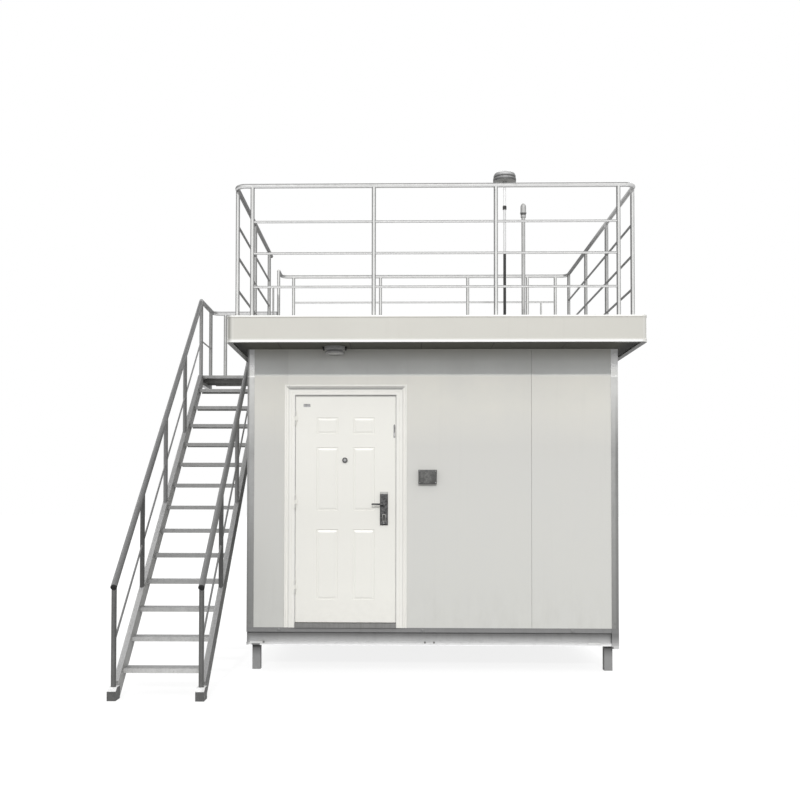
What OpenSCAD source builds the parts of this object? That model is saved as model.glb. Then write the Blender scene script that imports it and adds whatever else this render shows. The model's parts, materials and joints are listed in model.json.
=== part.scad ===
// Single-storey steel site cabin with a guarded roof deck and an outside stair.
// Millimetres, +Z up. Origin: bottom centre of the whole bounding box.

/* [Cabin] */
// Width over the corner posts
cabin_w = 3193; // [2600:10:4200]
// Depth over the corner posts
cabin_d = 2500; // [2000:10:3600]
// Height from the base frame to the soffit
wall_h = 2400; // [2250:10:2800]
// Thickness of a sandwich wall panel
wall_t = 50; // [40:1:80]
// Width of a folded corner post
post_w = 60; // [45:1:80]
// Sheet thickness of a corner post
post_t = 4; // [3:0.5:6]
// How far the posts stand proud of the wall panels
post_proud = 3; // [1:1:8]
// Gap at the joint between two wall panels
panel_joint = 2; // [1:0.5:5]
// Distance of the front wall's joint from the right edge
front_joint = 742; // [600:10:900]

/* [Base] */
// Height of the legs under the base frame
leg_h = 215; // [120:5:400]
// Width of a square leg
leg_w = 70; // [50:1:100]
// Distance of a leg from the end of the beam
leg_in = 46; // [40:1:200]
// Height of a base beam
beam_h = 150; // [100:5:200]
// Depth of a base beam's flanges
beam_w = 70; // [50:1:100]
// Thickness of a base beam's web and flange
beam_t = 6; // [4:1:10]
// Height of the beam's upper lip
beam_lip = 38; // [20:1:50]
// Height of the beam's lower lip
beam_toe = 24; // [10:1:30]
// Height of the plate that closes the right end of the front beam
end_plate_h = 172; // [155:1:200]
// Thickness of the floor
floor_t = 40; // [20:1:60]

/* [Roof] */
// Overhang of the roof at the left side
eave_side = 113; // [80:1:300]
// Overhang of the roof at the right side
eave_right = 149; // [80:1:300]
// Overhang of the roof at the front and the back
eave_front = 440; // [200:5:700]
// Height of the fascia
fascia_h = 221; // [170:1:300]
// How far the fascia hangs below the soffit
fascia_drop = 9; // [0:1:12]
// Depth of the fascia's flanges
fascia_d = 42; // [30:1:50]
// Sheet thickness of the fascia
fascia_t = 4; // [3:0.5:6]
// Height of the fascia's bottom lip
fascia_toe = 26; // [15:1:35]
// Height of the fascia's top lip
fascia_lip = 16; // [10:1:30]
// Inner radius of the fascia's corner pieces
fascia_in_r = 6; // [3:1:40]
// Thickness of the soffit and the ceiling
ceiling_t = 10; // [6:1:20]
// Thickness of the insulated roof slab
roof_t = 75; // [50:1:100]

/* [Door] */
// Width of the door leaf
leaf_w = 863; // [700:1:1000]
// Height of the door leaf
leaf_h = 1950; // [1850:1:2100]
// Thickness of the door leaf
leaf_t = 40; // [35:1:45]
// Distance of the frame from the left edge of the cabin
door_x = 323; // [200:5:600]
// Height of the threshold over the base frame
sill_h = 45; // [30:1:90]
// Width of the frame's face round the leaf
casing_w = 92; // [80:1:120]
// How far the frame's face stands proud of the wall
casing_proud = 15; // [10:1:25]
// How far the frame's face laps the wall
casing_lap = 30; // [15:1:40]
// Gap round the leaf
leaf_gap = 5; // [5:1:8]
// Setback of the leaf from the frame's face
leaf_set = 10; // [8:1:15]
// Width and depth of the stop behind the leaf
stop_w = 18; // [12:1:25]
// Radius of a hinge barrel
hinge_r = 7; // [6:0.5:9]
// Height of a hinge barrel
hinge_h = 110; // [80:5:140]
// Width of the moulded groove round a panel of the leaf
groove_w = 24; // [16:1:34]
// Depth of the moulded groove
groove_d = 4; // [2:0.5:6]
// Width of the lock's plate
lock_w = 69; // [50:1:80]
// Height of the lock's plate
lock_h = 288; // [200:1:320]
// Length of the lever from its spindle
lever_l = 98; // [80:1:130]
// Height of the lever over the bottom of the leaf
lever_h = 1015; // [900:5:1100]
// Distance of the lever's spindle from the free edge of the leaf
lever_in = 100; // [80:5:120]

/* [Railing] */
// Diameter of a top rail
top_d = 38; // [30:1:48]
// Diameter of a railing post
rail_post_d = 34; // [28:1:42]
// Diameter of a middle rail
mid_d = 20; // [14:1:25]
// Height of the roof's top rail over the deck
guard_h = 1219; // [1050:1:1300]
// Height of the upper middle rail over the deck
mid_3 = 918; // [850:1:1000]
// Height of the centre middle rail over the deck
mid_2 = 655; // [550:5:700]
// Height of the lower middle rail over the deck
mid_1 = 375; // [250:5:450]
// Distance of the railing from the outside of the fascia
guard_in = 66; // [64:1:90]
// Distance of the right railing from the outside of the fascia
guard_in_right = 85; // [64:1:110]
// Radius of the top rail's bend at a corner
bend_r = 80; // [60:5:80]
// Distance of a front or back post from the corner
front_post_in = 138; // [120:1:300]
// Distance of a side post from the corner
side_post_in = 100; // [95:1:300]
// Distance of the last left post in front of the landing
left_post_fore = 142; // [60:1:300]
// Distance of the extra back post from the corner
back_post_in = 459; // [300:1:600]
// Distance of the short back post from the corner
back_stub_in = 302; // [200:1:400]
// Thickness of a post's base plate
plate_t = 6; // [4:1:10]

/* [Stair] */
// Number of treads under the landing
tread_n = 13; // [8:1:18]
// Height of the first tread
first_h = 195; // [150:5:250]
// Height of the stair from one tread to the next
rise = 202.6; // [180:0.1:215]
// Depth of the stair from one tread to the next
going = 237.5; // [200:0.5:300]
// Width between the centres of the stringers
stair_w = 640; // [550:1:1000]
// Gap between the right handrail and the fascia
stair_gap = 11; // [8:1:80]
// How far the stair turns from the side wall, in degrees
skew = 0.4; // [0:0.1:1]
// Height of the landing
landing_h = 2793; // [2500:1:3000]
// Start of the landing behind the front wall
landing_y = 1900; // [1500:5:2400]
// Depth of a landing channel
channel_h = 100; // [80:1:140]
// Width of a landing channel's flange
channel_w = 50; // [35:1:70]
// Sheet thickness of a landing channel
channel_t = 5; // [4:0.5:8]
// Depth of the folded lip on the landing's front edge
lip_front = 26; // [15:1:50]
// Depth of the folded lip on the landing's back edge
lip_back = 30; // [10:1:50]
// Wall of a handrail's tube
tube_t = 3; // [2:0.5:5]
// Length of the landing
landing_l = 700; // [500:5:900]
// Depth of a tread
tread_d = 150; // [120:5:250]
// Thickness of a tread
tread_t = 34; // [20:1:45]
// Sheet thickness of a tread
tread_s = 4; // [3:0.5:6]
// Width of a stringer
string_w = 40; // [30:1:60]
// Depth of a stringer across its slope
string_d = 120; // [90:1:180]
// Rise of the stringer's top over the line of the treads
string_up = 40; // [20:1:80]
// Diameter of a handrail
hand_d = 46; // [36:1:50]
// Diameter of a handrail's post
hand_post_d = 38; // [28:1:42]
// Diameter of the bar between handrail and stringer
hand_mid_d = 16; // [10:1:20]
// Height of the handrail over the line of the treads
hand_h = 795; // [700:5:1000]
// Drop of the middle bar under the handrail
hand_mid_drop = 420; // [300:5:500]
// Width of a foot of the stair
foot_w = 64; // [50:1:100]
// Height of the front of a foot of the stair
foot_h = 68; // [60:1:120]
// Height of the seat on a foot under the first handrail post
foot_seat = 93; // [80:1:160]
// Distance of a foot's front and back from the first handrail post
foot_l = 60; // [45:1:100]
// Distance of the handrail's foot in front of the first tread
hand_fore = 190; // [120:5:260]

/* [Roof fittings] */
// Height of the flue's cap over the roof deck
flue_h = 1874; // [900:1:2200]
// Diameter of the flue
flue_d = 28; // [20:1:60]
// Diameter of the flue's cap
cap_d = 226; // [120:2:300]
// Height of the flue's cap
cap_h = 122; // [100:1:240]
// Height of the flue's coupling over the roof deck
coupling_z = 1486; // [600:1:1600]
// Distance of the flue from the left edge of the cabin
flue_x = 2354; // [1600:10:2600]
// Distance of the flue behind the front wall
flue_y = 1200; // [600:10:1800]
// Height of the vent pipe over the roof deck
vent_h = 1552; // [700:1:1800]
// Diameter of the vent pipe
vent_d = 37; // [25:1:60]
// Diameter of the vent pipe's head
vent_head_d = 61; // [45:1:90]
// Height of the vent pipe's head
vent_head_h = 144; // [100:1:200]
// Distance of the vent pipe from the left edge of the cabin
vent_x = 2538; // [1800:1:2800]
// Distance of the vent pipe behind the front wall
vent_y = 1200; // [800:10:2200]

/* [Wall fittings] */
// Distance of the wall box from the left edge of the cabin
box_x = 1479; // [1450:1:2300]
// Height of the wall box over the ground
box_z = 1602; // [1200:1:1900]
// Width of the wall box
box_w = 158; // [100:1:220]
// Height of the wall box
box_h = 120; // [80:1:180]
// Depth of the wall box
box_d = 40; // [25:1:60]
// Distance of the soffit lamp from the left edge of the cabin
lamp_x = 763; // [300:1:1500]
// Distance of the soffit lamp in front of the wall
lamp_y = 130; // [110:1:300]
// Diameter of the soffit lamp
lamp_d = 178; // [120:1:220]
// Height of the soffit lamp
lamp_h = 52; // [35:1:80]

/* [Hidden] */
$fn = 48;
base_z = leg_h;
floor_z = leg_h + beam_h;
wall_z = floor_z + wall_h;
roof_z = wall_z + ceiling_t;
deck_z = roof_z + roof_t;
fascia_r = fascia_d + fascia_in_r;
fascia_z = wall_z - fascia_drop;
face_y = post_proud;
roof_x0 = -eave_side;
roof_x1 = cabin_w + eave_right;
roof_y0 = -eave_front;
roof_y1 = cabin_d + eave_front;
// door
leaf_x = door_x + casing_w + leaf_gap;
leaf_z = floor_z + sill_h;
case_y = face_y - casing_proud;
leaf_y = case_y + leaf_set;
case_x1 = leaf_x + leaf_w + leaf_gap + casing_w;
case_z1 = leaf_z + leaf_h + leaf_gap + casing_w;
hole_x0 = door_x + casing_lap;
hole_x1 = case_x1 - casing_lap;
hole_z1 = case_z1 - casing_lap;
fit = 1;
axis_x = leaf_x - leaf_gap / 2;
axis_y = case_y - hinge_r;
hinge_at = [250, 980, 1700];
knuckle_gap = 1;
pin_r = 4;
pin_fit = 0.1;
lever_x = leaf_x + leaf_w - lever_in;
lever_z = leaf_z + lever_h;
front_x2 = cabin_w - front_joint;
// railing
gx0 = roof_x0 + guard_in;
gx1 = roof_x1 - guard_in_right;
gy0 = roof_y0 + guard_in;
gy1 = roof_y1 - guard_in;
top_z = deck_z + guard_h;
mids = [mid_1, mid_2, mid_3];
front_posts = [for (k = [0:3]) gx0 + front_post_in + k * (gx1 - gx0 - 2 * front_post_in) / 3];
side_posts = [for (k = [0:3]) gy0 + side_post_in + k * (gy1 - gy0 - 2 * side_post_in) / 3];
// stair
slope = rise / going;
pitch = atan(slope);
string_x1 = roof_x0 - stair_gap - hand_d / 2;
string_x0 = string_x1 - stair_w;
first_y = landing_y - 0.8 * going - (tread_n - 1) * going;
hand_y = first_y - hand_fore;
post_pitch = (landing_y - hand_y) / 4;
guard_z = line_z(landing_y) + hand_h;
landing_end = landing_y + landing_l;
land_post_in = 140;
guard_back = landing_end - 25;
gate_y = landing_y + 200;
rail_end_y = landing_y + 23;
left_last_y = landing_y - left_post_fore;
left_posts = [for (k = [0:2]) gy0 + side_post_in + k * (left_last_y - gy0 - side_post_in) / 2];
// plane where the left handrail meets the landing's guard
join_y = landing_y - hand_d / 2 - 12;
// end of the right handrail, just behind its last post
right_end_y = hand_y + 3 * post_pitch + 30;
seat_gap = 0.3;
hand_end = 12;
// overall box
box_x0 = string_x0 - (hand_d + 3) / 2;
box_y0 = landing_y - (landing_y - hand_y + foot_l) * cos(skew) - foot_w / 2 * sin(skew);
shift = [-(box_x0 + roof_x1) / 2, -(box_y0 + roof_y1) / 2, 0];

galv = "silver";
paint = "lightgray";

function line_z(y) = first_h + slope * (y - first_y);

// a block from its low corner to its high corner
module block(a, b) {
  translate(a) cube(b - a);
}

// a round bar between two points
module bar(a, b, d) {
  v = b - a;
  l = norm(v);
  translate(a)
    rotate([0, acos(v[2] / l), atan2(v[1], v[0])])
      cylinder(d = d, h = l);
}

// ---- base ----

module legs() {
  color(galv) translate(shift)
    for (x = [leg_in, cabin_w - leg_in - leg_w], y = [leg_in, cabin_d - leg_in - leg_w])
      difference() {
        block([x, y, 0], [x + leg_w, y + leg_w, leg_h]);
        block([x + 6, y + 6, 8], [x + leg_w - 6, y + leg_w - 6, leg_h - 8]);
      }
}

// section of a base beam: outside at 0, depth along +X, height along +Y
module beam_section() {
  polygon([[0, 0], [beam_w, 0], [beam_w, beam_t], [beam_w / 2, beam_t], [beam_w / 2, beam_h - beam_t],
    [beam_w, beam_h - beam_t], [beam_w, beam_h], [0, beam_h], [0, beam_h - beam_lip],
    [beam_t, beam_h - beam_lip], [beam_t, beam_h - beam_t], [beam_w / 2 - beam_t, beam_h - beam_t],
    [beam_w / 2 - beam_t, beam_t], [beam_t, beam_t], [beam_t, beam_toe], [0, beam_toe]]);
}

// a base beam along +X with its outside on the plane y = 0
module beam(l) {
  rotate([90, 0, 90]) linear_extrude(l) beam_section();
}

module base_front() {
  color(galv) translate(shift) {
    translate([0, 0, base_z]) beam(cabin_w);
    block([cabin_w - post_w, -post_t, floor_z - end_plate_h], [cabin_w, 0, floor_z]);
  }
}

module base_back() {
  color(galv) translate(shift) translate([cabin_w, cabin_d, base_z]) rotate(180) beam(cabin_w);
}

module base_left() {
  color(galv) translate(shift) translate([0, cabin_d - beam_w, base_z])
    rotate(-90) beam(cabin_d - 2 * beam_w);
}

module base_right() {
  color(galv) translate(shift) translate([cabin_w, beam_w, base_z])
    rotate(90) beam(cabin_d - 2 * beam_w);
}

module floor_panel() {
  in = face_y + wall_t;
  cut = post_w + fit;
  color("dimgray") translate(shift) difference() {
    block([in, in, floor_z], [cabin_w - in, cabin_d - in, floor_z + floor_t]);
    for (x = [0, cabin_w - cut], y = [0, cabin_d - cut])
      block([x, y, floor_z - 1], [x + cut, y + cut, floor_z + floor_t + 1]);
  }
}

// ---- walls ----

module corner_posts() {
  color(galv) translate(shift) translate([0, 0, floor_z])
    for (a = [[0, 0, 0], [cabin_w, 0, 90], [cabin_w, cabin_d, 180], [0, cabin_d, 270]])
      translate([a[0], a[1], 0]) rotate(a[2]) linear_extrude(wall_h) difference() {
        square(post_w);
        translate([post_t, post_t]) square(post_w - 2 * post_t);
      }
}

module front_panel(x0, x1, z0, z1) {
  color(paint) translate(shift) block([x0, face_y, z0], [x1, face_y + wall_t, z1]);
}

module front_wall_left() {
  front_panel(post_w, hole_x0, floor_z, wall_z);
}

module front_wall_over_door() {
  front_panel(hole_x0, hole_x1, hole_z1, wall_z);
}

module front_wall_middle() {
  front_panel(hole_x1, front_x2, floor_z, wall_z);
}

module front_wall_right() {
  front_panel(front_x2 + panel_joint, cabin_w - post_w, floor_z, wall_z);
}

// a wall of n panels along +X between two posts, outside on the plane y = face_y
module panel_wall(l, n) {
  pitch_x = (l - 2 * post_w + panel_joint) / n;
  for (k = [0:n - 1])
    translate([post_w + k * pitch_x, face_y, floor_z])
      cube([pitch_x - panel_joint, wall_t, wall_h]);
}

module left_wall() {
  color(paint) translate(shift) translate([0, cabin_d, 0]) rotate(-90) panel_wall(cabin_d, 3);
}

module right_wall() {
  color(paint) translate(shift) translate([cabin_w, 0, 0]) rotate(90) panel_wall(cabin_d, 3);
}

module back_wall() {
  color(paint) translate(shift) translate([cabin_w, cabin_d, 0]) rotate(180) panel_wall(cabin_w, 4);
}

// ---- roof ----

module ceiling() {
  color("white") translate(shift) block([0, 0, wall_z], [cabin_w, cabin_d, wall_z + ceiling_t]);
}

// a plate inside the fascia, set in from its outside, with corners that follow the corner pieces
module roof_plate(in, z0, z1) {
  r = fascia_r - in;
  x0 = roof_x0 + in;
  x1 = roof_x1 - in;
  y0 = roof_y0 + in;
  y1 = roof_y1 - in;
  block([x0 + r, y0, z0], [x1 - r, y1, z1]);
  block([x0, y0 + r, z0], [x1, y1 - r, z1]);
  for (x = [x0 + r, x1 - r], y = [y0 + r, y1 - r])
    translate([x, y, z0]) cylinder(r = r, h = z1 - z0);
}

module soffit() {
  color("dimgray") translate(shift) difference() {
    roof_plate(fascia_d, wall_z, wall_z + ceiling_t);
    block([0, 0, wall_z - 1], [cabin_w, cabin_d, wall_z + ceiling_t + 1]);
  }
}

module roof_slab() {
  color("gray") translate(shift) roof_plate(2 * fascia_t, roof_z, deck_z);
}

// section of the fascia: outside at 0, depth along +X, height along +Y
module fascia_section() {
  s = fascia_t;
  polygon([[0, 0], [fascia_d, 0], [fascia_d, s], [2 * s, s], [2 * s, fascia_h - s],
    [fascia_d, fascia_h - s], [fascia_d, fascia_h], [0, fascia_h], [0, fascia_h - fascia_lip],
    [s, fascia_h - fascia_lip - s], [s, fascia_toe + s], [0, fascia_toe]]);
}

// a straight fascia along +X with its outside on the plane y = 0
module fascia(l) {
  rotate([90, 0, 90]) linear_extrude(l) fascia_section();
}

module fascia_front() {
  color(paint) translate(shift) translate([roof_x0 + fascia_r, roof_y0, fascia_z])
    fascia(roof_x1 - roof_x0 - 2 * fascia_r);
}

module fascia_back() {
  color(paint) translate(shift) translate([roof_x1 - fascia_r, roof_y1, fascia_z]) rotate(180)
    fascia(roof_x1 - roof_x0 - 2 * fascia_r);
}

module fascia_left() {
  color(paint) translate(shift) translate([roof_x0, roof_y1 - fascia_r, fascia_z]) rotate(-90)
    fascia(roof_y1 - roof_y0 - 2 * fascia_r);
}

module fascia_right() {
  color(paint) translate(shift) translate([roof_x1, roof_y0 + fascia_r, fascia_z]) rotate(90)
    fascia(roof_y1 - roof_y0 - 2 * fascia_r);
}

module fascia_corners() {
  r = fascia_r;
  color(paint) translate(shift) translate([0, 0, fascia_z])
    for (c = [[roof_x0 + r, roof_y0 + r, 180], [roof_x1 - r, roof_y0 + r, 270],
        [roof_x1 - r, roof_y1 - r, 0], [roof_x0 + r, roof_y1 - r, 90]])
      translate([c[0], c[1], 0]) rotate(c[2]) rotate_extrude(angle = 90)
        translate([r, 0]) mirror([1, 0]) fascia_section();
}

// ---- door ----

// a moulding along +X, outer edge on y = 0, both ends mitred inwards; the child is its section
module mitred_run(l) {
  m = l + 400;
  difference() {
    rotate([90, 0, 90]) linear_extrude(l) children();
    rotate(45) translate([-m, 0, -m]) cube([2 * m, m, 2 * m]);
    translate([l, 0, 0]) rotate(-45) translate([-m, 0, -m]) cube([2 * m, m, 2 * m]);
  }
}

// mitred mouldings round a rectangle w by h; sides count from the bottom, anticlockwise
module mitred_frame(w, h, sides) {
  for (k = sides)
    translate([k == 1 || k == 2 ? w : 0, k >= 2 ? h : 0, 0]) rotate(90 * k)
      mitred_run(k % 2 == 0 ? w : h) children();
}

// section of the door's casing: lip, cove, raised face and a fine groove
module casing_section() {
  p = casing_proud;
  w = casing_w;
  polygon([[0, 0], [0, p * 0.55], [3, p * 0.85], [13, p * 0.85], [16, p * 0.5], [21, p * 0.3],
    [27, p * 0.3], [33, p * 0.55], [38, p * 0.9], [43, p], [w - 32, p], [w - 30, p - 3],
    [w - 28, p - 3], [w - 26, p], [w, p], [w, 0]]);
}

// the moulded face, the lining and the stop, as one folded steel frame
module door_frame() {
  in0 = leaf_x - leaf_gap;
  in1 = leaf_x + leaf_w + leaf_gap;
  in2 = leaf_z + leaf_h + leaf_gap;
  stop_y = leaf_y + leaf_t + leaf_gap;
  below = 2 * casing_w;
  color("ivory") translate(shift) difference() {
    union() {
      translate([door_x, face_y, floor_z - below]) rotate([90, 0, 0])
        mitred_frame(case_x1 - door_x, case_z1 - floor_z + below, [1, 2, 3]) casing_section();
      block([hole_x0 + fit, face_y, floor_z], [hole_x1 - fit, stop_y + stop_w, hole_z1 - fit]);
    }
    block([door_x - 1, case_y - 1, floor_z - below - 1], [case_x1 + 1, face_y + 1, floor_z]);
    block([in0, case_y - 1, floor_z - 1], [in1, stop_y, in2]);
    block([in0 + stop_w, stop_y - 1, floor_z - 1], [in1 - stop_w, stop_y + stop_w + 1, in2 - stop_w]);
    block([hole_x0, face_y + wall_t, floor_z - 1], [hole_x1, stop_y + stop_w + 1, floor_z + floor_t]);
  }
}

module door_sill() {
  color("dimgray") translate(shift)
    block([leaf_x - leaf_gap, case_y - 8, floor_z],
      [leaf_x + leaf_w + leaf_gap, leaf_y + leaf_t + leaf_gap, leaf_z - leaf_gap]);
}

// panels of the leaf: column edges from the left edge, row edges from the bottom
leaf_cols = [[0.21, 0.425], [0.575, 0.79]];
leaf_rows = [[0.10, 0.409], [0.4925, 0.772], [0.8315, 0.904]];

// section of the groove round a panel: steep outside, sloped up to the raised panel
module groove_section() {
  w = groove_w;
  d = groove_d;
  polygon([[0, 1], [0, 0], [w * 0.13, -d], [w * 0.35, -d], [w, 0], [w, 1]]);
}

module door_leaf() {
  color("ivory") translate(shift) translate([leaf_x, leaf_y, leaf_z]) difference() {
    cube([leaf_w, leaf_t, leaf_h]);
    for (c = leaf_cols, r = leaf_rows)
      translate([c[0] * leaf_w, 0, r[0] * leaf_h]) rotate([90, 0, 0])
        mitred_frame((c[1] - c[0]) * leaf_w, (r[1] - r[0]) * leaf_h, [0:3]) groove_section();
  }
}

// three hinges: pin and outer knuckles on the frame, middle knuckle on the leaf
module hinge_knuckles_frame() {
  third = hinge_h / 3;
  color("ivory") translate(shift) for (z = hinge_at)
    translate([axis_x, axis_y, leaf_z + z]) {
      cylinder(r = pin_r, h = hinge_h - knuckle_gap);
      for (k = [0, 2]) translate([0, 0, k * third]) {
        cylinder(r = hinge_r, h = third - knuckle_gap);
        translate([-hinge_r - 14, hinge_r - 3, 0]) cube([hinge_r + 14, 3, third - knuckle_gap]);
      }
    }
}

module hinge_knuckles_leaf() {
  third = hinge_h / 3;
  r = hinge_r - 0.5;
  h = third - knuckle_gap;
  color("ivory") translate(shift) for (z = hinge_at)
    translate([axis_x, axis_y, leaf_z + z + third]) difference() {
      union() {
        cylinder(r = r, h = h);
        translate([0, pin_r, 0]) cube([hinge_r + 12, hinge_r + leaf_set - pin_r, h]);
      }
      translate([0, 0, -1]) cylinder(r = pin_r + pin_fit, h = h + 2);
    }
}

lock_t = 9;
spindle_d = 18;
key_drop = 102;

// the lock's plate: a flat base, a raised face and the collar of the key cylinder
module lock_plate() {
  z0 = -lock_h * 0.625;
  color("dimgray") translate(shift) translate([lever_x, leaf_y, lever_z]) difference() {
    union() {
      translate([-lock_w / 2, -lock_t / 2, z0]) cube([lock_w, lock_t / 2, lock_h]);
      translate([-lock_w / 2 + 6, -lock_t, z0 + 6]) cube([lock_w - 12, lock_t, lock_h - 12]);
      translate([0, 0, -key_drop]) rotate([90, 0, 0]) cylinder(d = 38, h = lock_t + 5);
    }
    rotate([-90, 0, 0]) translate([0, 0, -lock_t - 1]) cylinder(d = spindle_d + 1, h = lock_t - 2);
    translate([0, 0, -key_drop]) rotate([-90, 0, 0]) translate([0, 0, -lock_t - 6])
      cylinder(d = 24, h = 4);
  }
}

module peephole() {
  color("dimgray") translate(shift)
    translate([leaf_x + leaf_w * 0.493, leaf_y, leaf_z + 1395])
      rotate([90, 0, 0]) cylinder(d = 46, h = 10);
}

// a lever: round spindle, neck and a bar that points to the hinges
module door_lever() {
  out = 52;
  bar_d = 16;
  color("dimgray") translate(shift) translate([lever_x, leaf_y, lever_z]) {
    rotate([90, 0, 0]) translate([0, 0, 3 + seat_gap]) cylinder(d = spindle_d, h = out - seat_gap);
    translate([0, -out + 2, 0]) rotate([0, -90, 0]) cylinder(d = bar_d, h = lever_l);
    translate([-lever_l, -out + 2, 0]) sphere(d = bar_d + 1);
  }
}

// ---- fittings on the wall and under the eave ----

module wall_box() {
  color("black") translate(shift) translate([box_x, face_y - box_d, box_z]) cube([box_w, box_d, box_h]);
}

// a round bulkhead lamp: base ring against the soffit and a tapered bowl under it
module soffit_lamp() {
  base = lamp_h * 0.38;
  color("gray") translate(shift) translate([lamp_x, -lamp_y, wall_z - lamp_h]) {
    cylinder(d1 = lamp_d * 0.62, d2 = lamp_d * 0.88, h = lamp_h - base);
    translate([0, 0, lamp_h - base]) cylinder(d = lamp_d, h = base);
  }
}

// ---- railings on the roof ----

module guard_post(x, y, h) {
  translate([x, y, deck_z]) cylinder(d = rail_post_d, h = h);
  translate([x, y, deck_z]) cylinder(d = rail_post_d + 26, h = plate_t);
}

// a slim post up to the upper middle rail
module slim_post(x, y) {
  translate([x, y, deck_z]) cylinder(d = mid_d, h = mid_3);
  translate([x, y, deck_z]) cylinder(d = mid_d + 26, h = plate_t);
}

// quarter bend of the top rail round the corner at (x, y); a is the start angle
module corner_bend(x, y, a) {
  translate([x, y, top_z]) rotate(a) rotate_extrude(angle = 90) translate([bend_r, 0]) circle(d = top_d);
}

module front_railing() {
  x0 = gx0 + bend_r;
  x1 = gx1 - bend_r;
  color(galv) translate(shift) {
    for (x = front_posts) guard_post(x, gy0, guard_h);
    bar([x0, gy0, top_z], [x1, gy0, top_z], top_d);
    for (m = mids) bar([front_posts[0], gy0, deck_z + m], [front_posts[3], gy0, deck_z + m], mid_d);
    corner_bend(x0, gy0 + bend_r, 180);
    corner_bend(x1, gy0 + bend_r, 270);
  }
}

module right_railing() {
  color(galv) translate(shift) {
    for (y = side_posts) guard_post(gx1, y, guard_h);
    bar([gx1, gy0 + bend_r + seat_gap, top_z], [gx1, gy1 - bend_r - seat_gap, top_z], top_d);
    for (m = mids) bar([gx1, side_posts[0], deck_z + m], [gx1, side_posts[3], deck_z + m], mid_d);
  }
}

module back_railing() {
  x0 = gx0 + bend_r;
  x1 = gx1 - bend_r;
  color(galv) translate(shift) {
    for (x = front_posts) guard_post(x, gy1, guard_h);
    bar([x0, gy1, top_z], [x1, gy1, top_z], top_d);
    for (m = mids) bar([front_posts[0], gy1, deck_z + m], [front_posts[3], gy1, deck_z + m], mid_d);
    corner_bend(x1, gy1 - bend_r, 0);
    corner_bend(x0, gy1 - bend_r, 90);
    guard_post(gx1 - back_post_in, gy1, guard_h);
    slim_post(gx1 - back_stub_in, gy1);
  }
}

module left_railing() {
  color(galv) translate(shift) {
    for (y = left_posts) guard_post(gx0, y, guard_h);
    bar([gx0, gy0 + bend_r + seat_gap, top_z], [gx0, rail_end_y, top_z], top_d);
    for (m = mids) bar([gx0, left_posts[0], deck_z + m], [gx0, left_posts[2], deck_z + m], mid_d);
  }
}

module rear_left_railing() {
  color(galv) translate(shift) {
    guard_post(gx0, guard_back, guard_h);
    bar([gx0, guard_back, top_z], [gx0, gy1 - bend_r - seat_gap, top_z], top_d);
    slim_post(gx0, gate_y);
  }
}

// ---- flue and vent pipe on the roof ----

// flue: flanged pole, a coupling and a cap of two stacked rings under a dome
module flue() {
  p = flue_d / 2;
  c = cap_d / 2;
  z = flue_h - cap_h;
  f = cap_h / 184;
  color("dimgray") translate(shift) translate([flue_x, flue_y, deck_z]) rotate_extrude()
    polygon([[0, 0], [60, 0], [60, 8], [p, 8], [p, coupling_z], [p + 5, coupling_z + 3],
      [p + 5, coupling_z + 37], [p, coupling_z + 40], [p, z], [p + 10, z], [p + 14, z + 10 * f],
      [c - 3, z + 16 * f], [c, z + 20 * f], [c, z + 62 * f], [c - 10, z + 68 * f],
      [c - 10, z + 76 * f], [c - 3, z + 82 * f], [c - 5, z + 108 * f], [c - 14, z + 114 * f],
      [c - 14, z + 120 * f], [c - 10, z + 124 * f], [c * 0.86, z + 140 * f],
      [c * 0.7, z + 158 * f], [c * 0.48, z + 172 * f], [c * 0.22, z + 181 * f], [0, z + cap_h]]);
}

// vent pipe: flanged pole with a necked, domed head
module vent_pipe() {
  p = vent_d / 2;
  h = vent_head_d / 2;
  z = vent_h - vent_head_h;
  f = vent_head_h / 144;
  color("silver") translate(shift) translate([vent_x, vent_y, deck_z]) rotate_extrude()
    polygon([[0, 0], [50, 0], [50, 8], [p, 8], [p, z], [h - 5, z + 2 * f], [h - 5, z + 34 * f],
      [h, z + 38 * f], [h, z + 54 * f], [h - 3, z + 58 * f], [h - 3, z + 100 * f],
      [h * 0.86, z + 118 * f], [h * 0.62, z + 132 * f], [h * 0.32, z + 141 * f],
      [0, z + vent_head_h]]);
}

// ---- stair ----

// turns the stair about the top of its left stringer
module turned() {
  translate([string_x0, landing_y, 0]) rotate(skew) translate([-string_x0, -landing_y, 0]) children();
}

// side outline drawn with y to the left, z up, and extruded about the plane x
module side_profile(x, w, points) {
  translate([x + w / 2, 0, 0]) rotate([90, 0, -90]) linear_extrude(w)
    polygon([for (p = points) [-p[0], p[1]]]);
}

// a stringer along the slope, from the back of its foot to the landing
module stringer(x) {
  y0 = hand_y + foot_l;
  y1 = landing_y + 30;
  down = string_d / cos(pitch) - string_up;
  cut_y = first_y + (down - first_h) / slope;
  flat_y = first_y + (landing_h - string_up - first_h) / slope;
  difference() {
    turned() side_profile(x, string_w, [[y0, 0], [y0, line_z(y0) + string_up], [flat_y, landing_h],
      [y1, landing_h], [y1, line_z(y1) - down], [cut_y, 0]]);
    block([x - 100, landing_y, 0], [x + 100, landing_y + 100, 2 * landing_h]);
  }
}

module stair_feet() {
  y0 = hand_y - foot_l;
  y1 = hand_y + foot_l;
  seat_y = hand_y - hand_post_d / 2;
  color(galv) translate(shift) turned() for (x = [string_x0, string_x1])
    side_profile(x, foot_w, [[y0, 0], [y0, foot_h], [seat_y, foot_seat], [y1, foot_seat], [y1, 0]]);
}

module stringer_left() {
  color(galv) translate(shift) stringer(string_x0);
}

module stringer_right() {
  color(galv) translate(shift) stringer(string_x1);
}

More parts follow.
